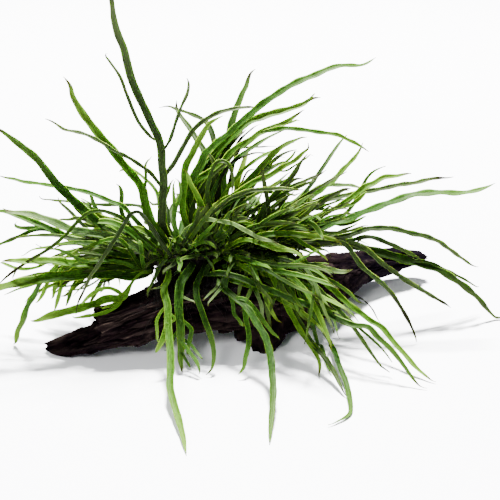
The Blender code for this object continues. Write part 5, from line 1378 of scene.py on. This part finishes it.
# %% Leaves drawn at random
# Each group: how many, from and to which share of the stem, the way, its spread, lengths (mm),
# widths (mm), how far they droop and how many of them fork, as a share.
GROUPS = {
    "left_fan": (56, 0.0, 0.32, (-1.0, 0.35, 0.22), (0.15, 0.35, 0.26), (56, 108), (3.0, 5.2), 0.26, 0.6),
    "upright_fan": (50, 0.1, 0.8, (0.50, 0.1, 0.95), (0.45, 0.45, 0.2), (45, 100), (2.8, 4.6), 0.30, 0.7),
    "right_fan": (11, 0.5, 1.0, (1.0, -0.1, 0.55), (0.2, 0.4, 0.3), (55, 112), (2.6, 4.4), 0.30, 0.6),
    "low_right": (14, 0.4, 0.9, (1.0, -0.8, 0.30), (0.25, 0.2, 0.15), (60, 105), (2.6, 3.8), 0.42, 0.5),
    "back_fan": (20, 0.1, 0.95, (0.1, 1.0, 0.75), (0.7, 0.2, 0.4), (50, 95), (2.8, 4.8), 0.40, 0.4),
    "front_fan": (14, 0.05, 0.9, (0.1, -1.0, 0.5), (0.7, 0.2, 0.3), (22, 42), (2.4, 3.8), 0.65, 0.2),
    "sprouts": (120, 0.0, 1.0, (0.1, -0.1, 0.9), (1.0, 0.7, 0.3), (14, 40), (1.3, 3.2), 0.35, 0.0),
}
RANDOM_SPACING = 2.8  # mm between rings
DRAWS = 25  # tries at most until a leaf is out of the windows
FORK_ANGLE = (0.25, 0.5)  # radians
FORK_PLACE = (0.45, 0.7)  # where a leaf forks, as a share of its length
FORK_LENGTH = (0.25, 0.4)  # of the fork, as a share of the leaf's
FORK_WIDTH = 0.7  # of the fork, as a share of the leaf's
FORK_FACE = (0, -0.9, 0.4)  # a fork turns round this way
LEAST_RINGS = 8
SIDE_BEND = 0.30  # how far a leaf bends aside at its tip, as a share of its length
DROOP_RANGE = (0.6, 1.4)  # how much the droop differs from leaf to leaf
WAVE = 0.16  # how much of its side bend a leaf also waves
RANDOM_TONES = (0.1, 0.75)
LEAST_LEAF_HEIGHT = 1.2  # mm above the surface
GROUP_SEEDS, LEAF_SEEDS = 1000, 7  # steps between the seeds of two groups, and of two leaves
GROUP_FINISHES = ["deep", "mid", "deep", "mid", "fresh"]


def bent_line(root, way, length, side_bend, droop):
    """root + way * length * s, bent by the square of s, with a wave that grows with s."""
    s = np.linspace(0, 1, max(int(length / RANDOM_SPACING), LEAST_RINGS))[:, None]
    wave = WAVE * side_bend * length * np.sin(2 * np.pi * s * (1 + 3 * abs(side_bend[0]))) * s
    return root + way * length * s + (side_bend - np.array([0, 0, droop])) * length * s ** 2 + wave


# Windows in the picture that no random leaf is seen in: left, top, right and bottom.
OPEN_WINDOWS = [(336, 248, 434, 304), (38, 318, 118, 360), (196, 306, 262, 336), (232, 143, 262, 192),
                (395, 205, 500, 300)]


def in_a_window(line):
    """Whether any point of a line is seen inside a window."""
    across, down = seen_at(line).T
    return any(((across > left) & (across < right) & (down > top) & (down < bottom)).any()
               for left, top, right, bottom in OPEN_WINDOWS)


def random_leaf(seed, group):
    """The ribbons of one leaf: a main one, and for some a fork from halfway along or a bit later."""
    _, low, high, way, spread, lengths, widths, droop, forked = group
    rng = np.random.default_rng(seed)
    for _ in range(DRAWS):
        root = stem_line[int(rng.uniform(low, high) * (len(stem_line) - 1))]
        leaf_way = unit(np.array(way) + rng.uniform(-1, 1, 3) * spread)
        length, width = rng.uniform(*lengths), rng.uniform(*widths)
        side_bend = rng.uniform(-SIDE_BEND, SIDE_BEND, 3)
        line = bent_line(root, leaf_way, length, side_bend, droop * rng.uniform(*DROOP_RANGE))
        line = clear_of_wood(line)
        if not in_a_window(line):
            break
    line[:, 2] = np.maximum(line[:, 2], LEAST_LEAF_HEIGHT)
    tone = rng.uniform(*RANDOM_TONES)
    shells = [ribbon(line, width, True, tone, DARK_FROM, seed)]
    if rng.uniform() < forked:
        start = int(len(line) * rng.uniform(*FORK_PLACE))
        turn = rng.uniform(*FORK_ANGLE) * rng.choice([-1, 1])
        ahead = unit(line[start + 1] - line[start - 1])
        ahead = unit(ahead * np.cos(turn) + unit(np.cross(ahead, FORK_FACE)) * np.sin(turn))
        fork = bent_line(line[start], ahead, length * rng.uniform(*FORK_LENGTH), side_bend, droop / 2)
        fork[:, 2] = np.maximum(fork[:, 2], LEAST_LEAF_HEIGHT)
        shells.append(ribbon(fork, width * FORK_WIDTH, False, tone, DARK_FROM, seed + 1))
    return shells


for group_number, (name, group) in enumerate(GROUPS.items()):
    by_finish = {}
    for k in range(group[0]):
        seed = GROUP_SEEDS * (group_number + 1) + LEAF_SEEDS * k
        by_finish.setdefault(GROUP_FINISHES[k % len(GROUP_FINISHES)], []).extend(random_leaf(seed, group))
    for finish, shells in by_finish.items():
        make_piece(f"{name}_{finish}", shells, FERN[finish])
    print(name, "has", group[0], "leaves")

# %% [markdown]
# ## Roots
#
# The stem clings to the wood with roots as fine as thread. They leave its underside, cross the gap
# and spread over the wood in all directions. Hair would be lighter, but it has no surface of its
# own, so a root is a thin tube. On the wood its line is worked out on the branch's own surface, a
# little above it.

# %% Roots over the wood
ROOT_COUNT = 420
END_ROOTS = 60  # more of them hang from the growing end
ROOT_RADIUS = (0.16, 0.34)  # mm
ROOT_AROUND = 5
ROOT_LIFT = 0.55  # mm above the wood
ROOT_REACH = 26  # mm that a root runs along the wood at most
ROOT_TURN = (0.2, 1.4)  # radians that it runs round the wood
ROOT_STEPS = 16
ROOT_SPACING = 1.6  # mm between rings
ROOT_START = (2.0, 1.5)  # mm beside the stem's middle at most, and mm below it
ROOT_SWAY = (4.0, (3, 9))  # mm that it sways along the wood at most, in how many radians
ROOT_LANDING = 0.35  # radians from the top of the wood at most
ROOT_SIDES = (-1, -1, 1)  # two in three run down the side that faces the eye
ROOT_TURN_POWER = 1.2  # how late a root turns round the wood: 1 is an even turn
ROOT_WAVER = (0.1, (4, 12))  # radians that its angle wavers, in how many radians
ROOT_FALL = (0.3, 0.7)  # the two steps of its fall, as shares
ROOT_STRAY = 1.5  # mm that they stray at most
ROOT_END = 0.45  # radius of its tip, as a share
BED_SPREAD = 6.5  # mm, half the width of a bed of roots
BED_TOP, BED_SINK = 1.0, 2.5  # mm under the stem's middle, and mm that it is sunk in the wood
BED_END = 0.15  # radians: how far its ends are drawn in
BED_RINGS, BED_AROUND = 70, 60
BUMPS = (1.3, 0.8)  # mm, coarse and fine
COARSE_BUMP, FINE_BUMP = (5.0, 1.3, 1.3), 0.9  # mm, their sizes


def root_line(seed, start_low, start_high):
    """A root from the stem's underside to the wood and on along it.

    It falls in two steps, and then both x and the angle round the wood grow along it, with a wave.
    """
    rng = np.random.default_rng(seed)
    place = int(rng.uniform(start_low, start_high) * (len(stem_line) - 1))
    start = stem_line[place] + (0, rng.uniform(-ROOT_START[0], ROOT_START[0]), -ROOT_START[1])
    steps = np.linspace(0, 1, ROOT_STEPS)
    x = start[0] + rng.uniform(-ROOT_REACH, ROOT_REACH) * steps
    x += rng.uniform(-ROOT_SWAY[0], ROOT_SWAY[0]) * np.sin(steps * rng.uniform(*ROOT_SWAY[1]))
    first = np.pi / 2 + rng.uniform(-ROOT_LANDING, ROOT_LANDING)
    angle = first + rng.choice(ROOT_SIDES) * rng.uniform(*ROOT_TURN) * steps ** ROOT_TURN_POWER
    angle += ROOT_WAVER[0] * np.sin(steps * rng.uniform(*ROOT_WAVER[1]))
    on_wood, _ = wood_surface(x, angle, lift=ROOT_LIFT)
    fall = start + (on_wood[0] - start) * np.array(ROOT_FALL)[:, None]
    fall[:, :2] += rng.uniform(-ROOT_STRAY, ROOT_STRAY, (2, 2))
    return smooth_curve(np.vstack([start, fall, on_wood]), ROOT_SPACING)


def root_shells(first_seed, count, low, high):
    """Several roots, each a tube that thins towards its end."""
    shells = []
    for seed in range(first_seed, first_seed + count):
        line = root_line(seed, low, high)
        radius = np.random.default_rng(seed).uniform(*ROOT_RADIUS) * np.linspace(1, ROOT_END, len(line))
        grid = tube(line, radius, ROOT_AROUND, upright=(0.3, 0.2, 1.0))
        shells.append((grid, no_strip(grid)))
    return shells


def root_bed(start, end):
    """A low bed of felted root from x = start to end, between the stem's underside and the wood."""
    x = np.linspace(start, end, BED_RINGS)
    turn = np.linspace(0, 2 * np.pi, BED_AROUND, endpoint=False)
    middle = np.stack([np.interp(x, stem_line[:, 0], axis) for axis in stem_line.T], 1)
    top = middle[:, 2] - BED_TOP
    bottom = np.interp(x, fine_x, wood_profile[3]) - BED_SINK
    spread = BED_SPREAD * np.sin(np.linspace(BED_END, np.pi - BED_END, BED_RINGS))
    x, angle = np.meshgrid(x, turn, indexing="ij")
    points = np.stack([x, middle[:, 1:2] + spread[:, None] * np.cos(angle),
                       (top + bottom)[:, None] / 2 + ((top - bottom) / 2)[:, None] * np.sin(angle)], -1)
    bumps = BUMPS[0] * solid_noise(points / COARSE_BUMP) + BUMPS[1] * solid_noise(points / FINE_BUMP)
    points[..., 1] += bumps * np.cos(angle)
    points[..., 2] += bumps * np.sin(angle)
    return points, no_strip(points)


# Each mat has rows of roots and a bed. A row is its first seed, how many, and from and to which
# share of the stem. A bed reaches from and to an x (mm).
MATS = {"left": ([(3000, ROOT_COUNT // 2, 0.0, 0.45), (3500, END_ROOTS, 0.0, 0.1)], (-72, -37)),
        "right": ([(4000, ROOT_COUNT // 2, 0.4, 1.0)], (-40, 18))}
for side, (rows, bed) in MATS.items():
    shells = [shell for row in rows for shell in root_shells(*row)]
    make_piece(f"root_mat_{side}", shells + [root_bed(*bed)], ROOT, [f"roots_{side}"])
print("laid", ROOT_COUNT + END_ROOTS, "roots")

# %% [markdown]
# Some old roots and leaf stalks never reached the wood. They stand out of the crown as thin black
# arcs, bent over at the top.

# %% Black arcs in the crown
ARCS = 64
ARC_SEED = 5000
ARC_RADIUS = 0.22  # mm
ARC_END = 0.5  # radius of its tip, as a share
ARC_PART = 0.75  # share of the stem that they grow from
ARC_LENGTH = (18, 48)  # mm
ARC_WAY = (0.55, 0.35)  # how far they lean along x and y, beside 1 upwards
ARC_DROP = 0.85  # how far the tip comes down again, as a share of the length
ARC_POWER = 2.4  # how late it bends: higher is later
ARC_STEPS = 18


def arc_shell(seed):
    """A hair from the stem, up and over: a straight line, less a drop by a power of the way along."""
    rng = np.random.default_rng(seed)
    root = stem_line[int(rng.uniform(0, ARC_PART) * (len(stem_line) - 1))]
    turn = rng.uniform(-np.pi, np.pi)
    s = np.linspace(0, 1, ARC_STEPS)[:, None]
    way = np.array([ARC_WAY[0] * np.cos(turn), ARC_WAY[1] * np.sin(turn), 1.0])
    length = rng.uniform(*ARC_LENGTH)
    line = root + way * length * s - np.array([0, 0, ARC_DROP]) * length * s ** ARC_POWER
    grid = tube(line, ARC_RADIUS * np.linspace(1, ARC_END, len(line)), ROOT_AROUND, (0.9, 0.2, 0.3))
    return grid, no_strip(grid)


make_piece("black_arcs", [arc_shell(ARC_SEED + k) for k in range(ARCS)], ROOT)
print("made", ARCS, "arcs")

# %% [markdown]
# ## Studio
#
# The plant lies on a plain white table, under a soft light from above and behind, so that its
# shadow falls towards the front. A second, weaker light from the front left opens the shade. The
# room gives a weak bluish light from all sides, and looks white to the eye.

# %% Table, lights and world
REACH = 6.0  # m, half the width of the table
ROOM_LIGHT = 0.34  # strength of the light from all sides
ROOM_COLOUR = (0.86, 0.92, 1, 1)
BACKDROP_COLOUR = (0.94, 0.95, 0.96, 1)
# Each soft light: its place (m), its size (m) and its power (W).
SOFT_LIGHTS = {"overhead": ((0.05, 1.25, 2.60), 0.40, 1020), "front_fill": ((-0.6, -1.2, 1.2), 0.6, 30)}
table_finish, _ = new_finish("white_table", Roughness=0.6, Base_Color=linear("#fdfdff"))
table_mesh = bpy.data.meshes.new("table")
table_mesh.from_pydata([(-REACH, -REACH, 0), (REACH, -REACH, 0), (REACH, REACH, 0), (-REACH, REACH, 0)],
                       [], [(0, 1, 2, 3)])
table_mesh.materials.append(table_finish)
table_object = bpy.data.objects.new("table", table_mesh)
bpy.context.scene.collection.objects.link(table_object)


def soft_light(name, place, size, power):
    """A square area light at a place in metres, turned towards the plant."""
    data = bpy.data.lights.new(name, "AREA")
    data.shape = "SQUARE"
    data.size = size
    data.energy = power
    light = bpy.data.objects.new(name, data)
    light.location = place
    way = np.array(VIEW_TARGET * MM - np.array(place))
    yaw, tilt = np.arctan2(way[0], -way[1]), np.arccos(-way[2] / np.linalg.norm(way))
    light.rotation_euler = (tilt, 0, yaw + np.pi)
    bpy.context.scene.collection.objects.link(light)


for name, values in SOFT_LIGHTS.items():
    soft_light(name, *values)
world = bpy.data.worlds.new("white_room")
bpy.context.scene.world = world
world.use_nodes = True
room = join(world.node_tree.nodes["Background"], ROOM_COLOUR, ROOM_LIGHT)
backdrop = add(world, "Background", {}, BACKDROP_COLOUR, 1.0)
to_the_eye = add(world, "LightPath").outputs["Is Camera Ray"]
join(world.node_tree.nodes["World Output"], add(world, "MixShader", {}, to_the_eye, room, backdrop))
print("lights set")
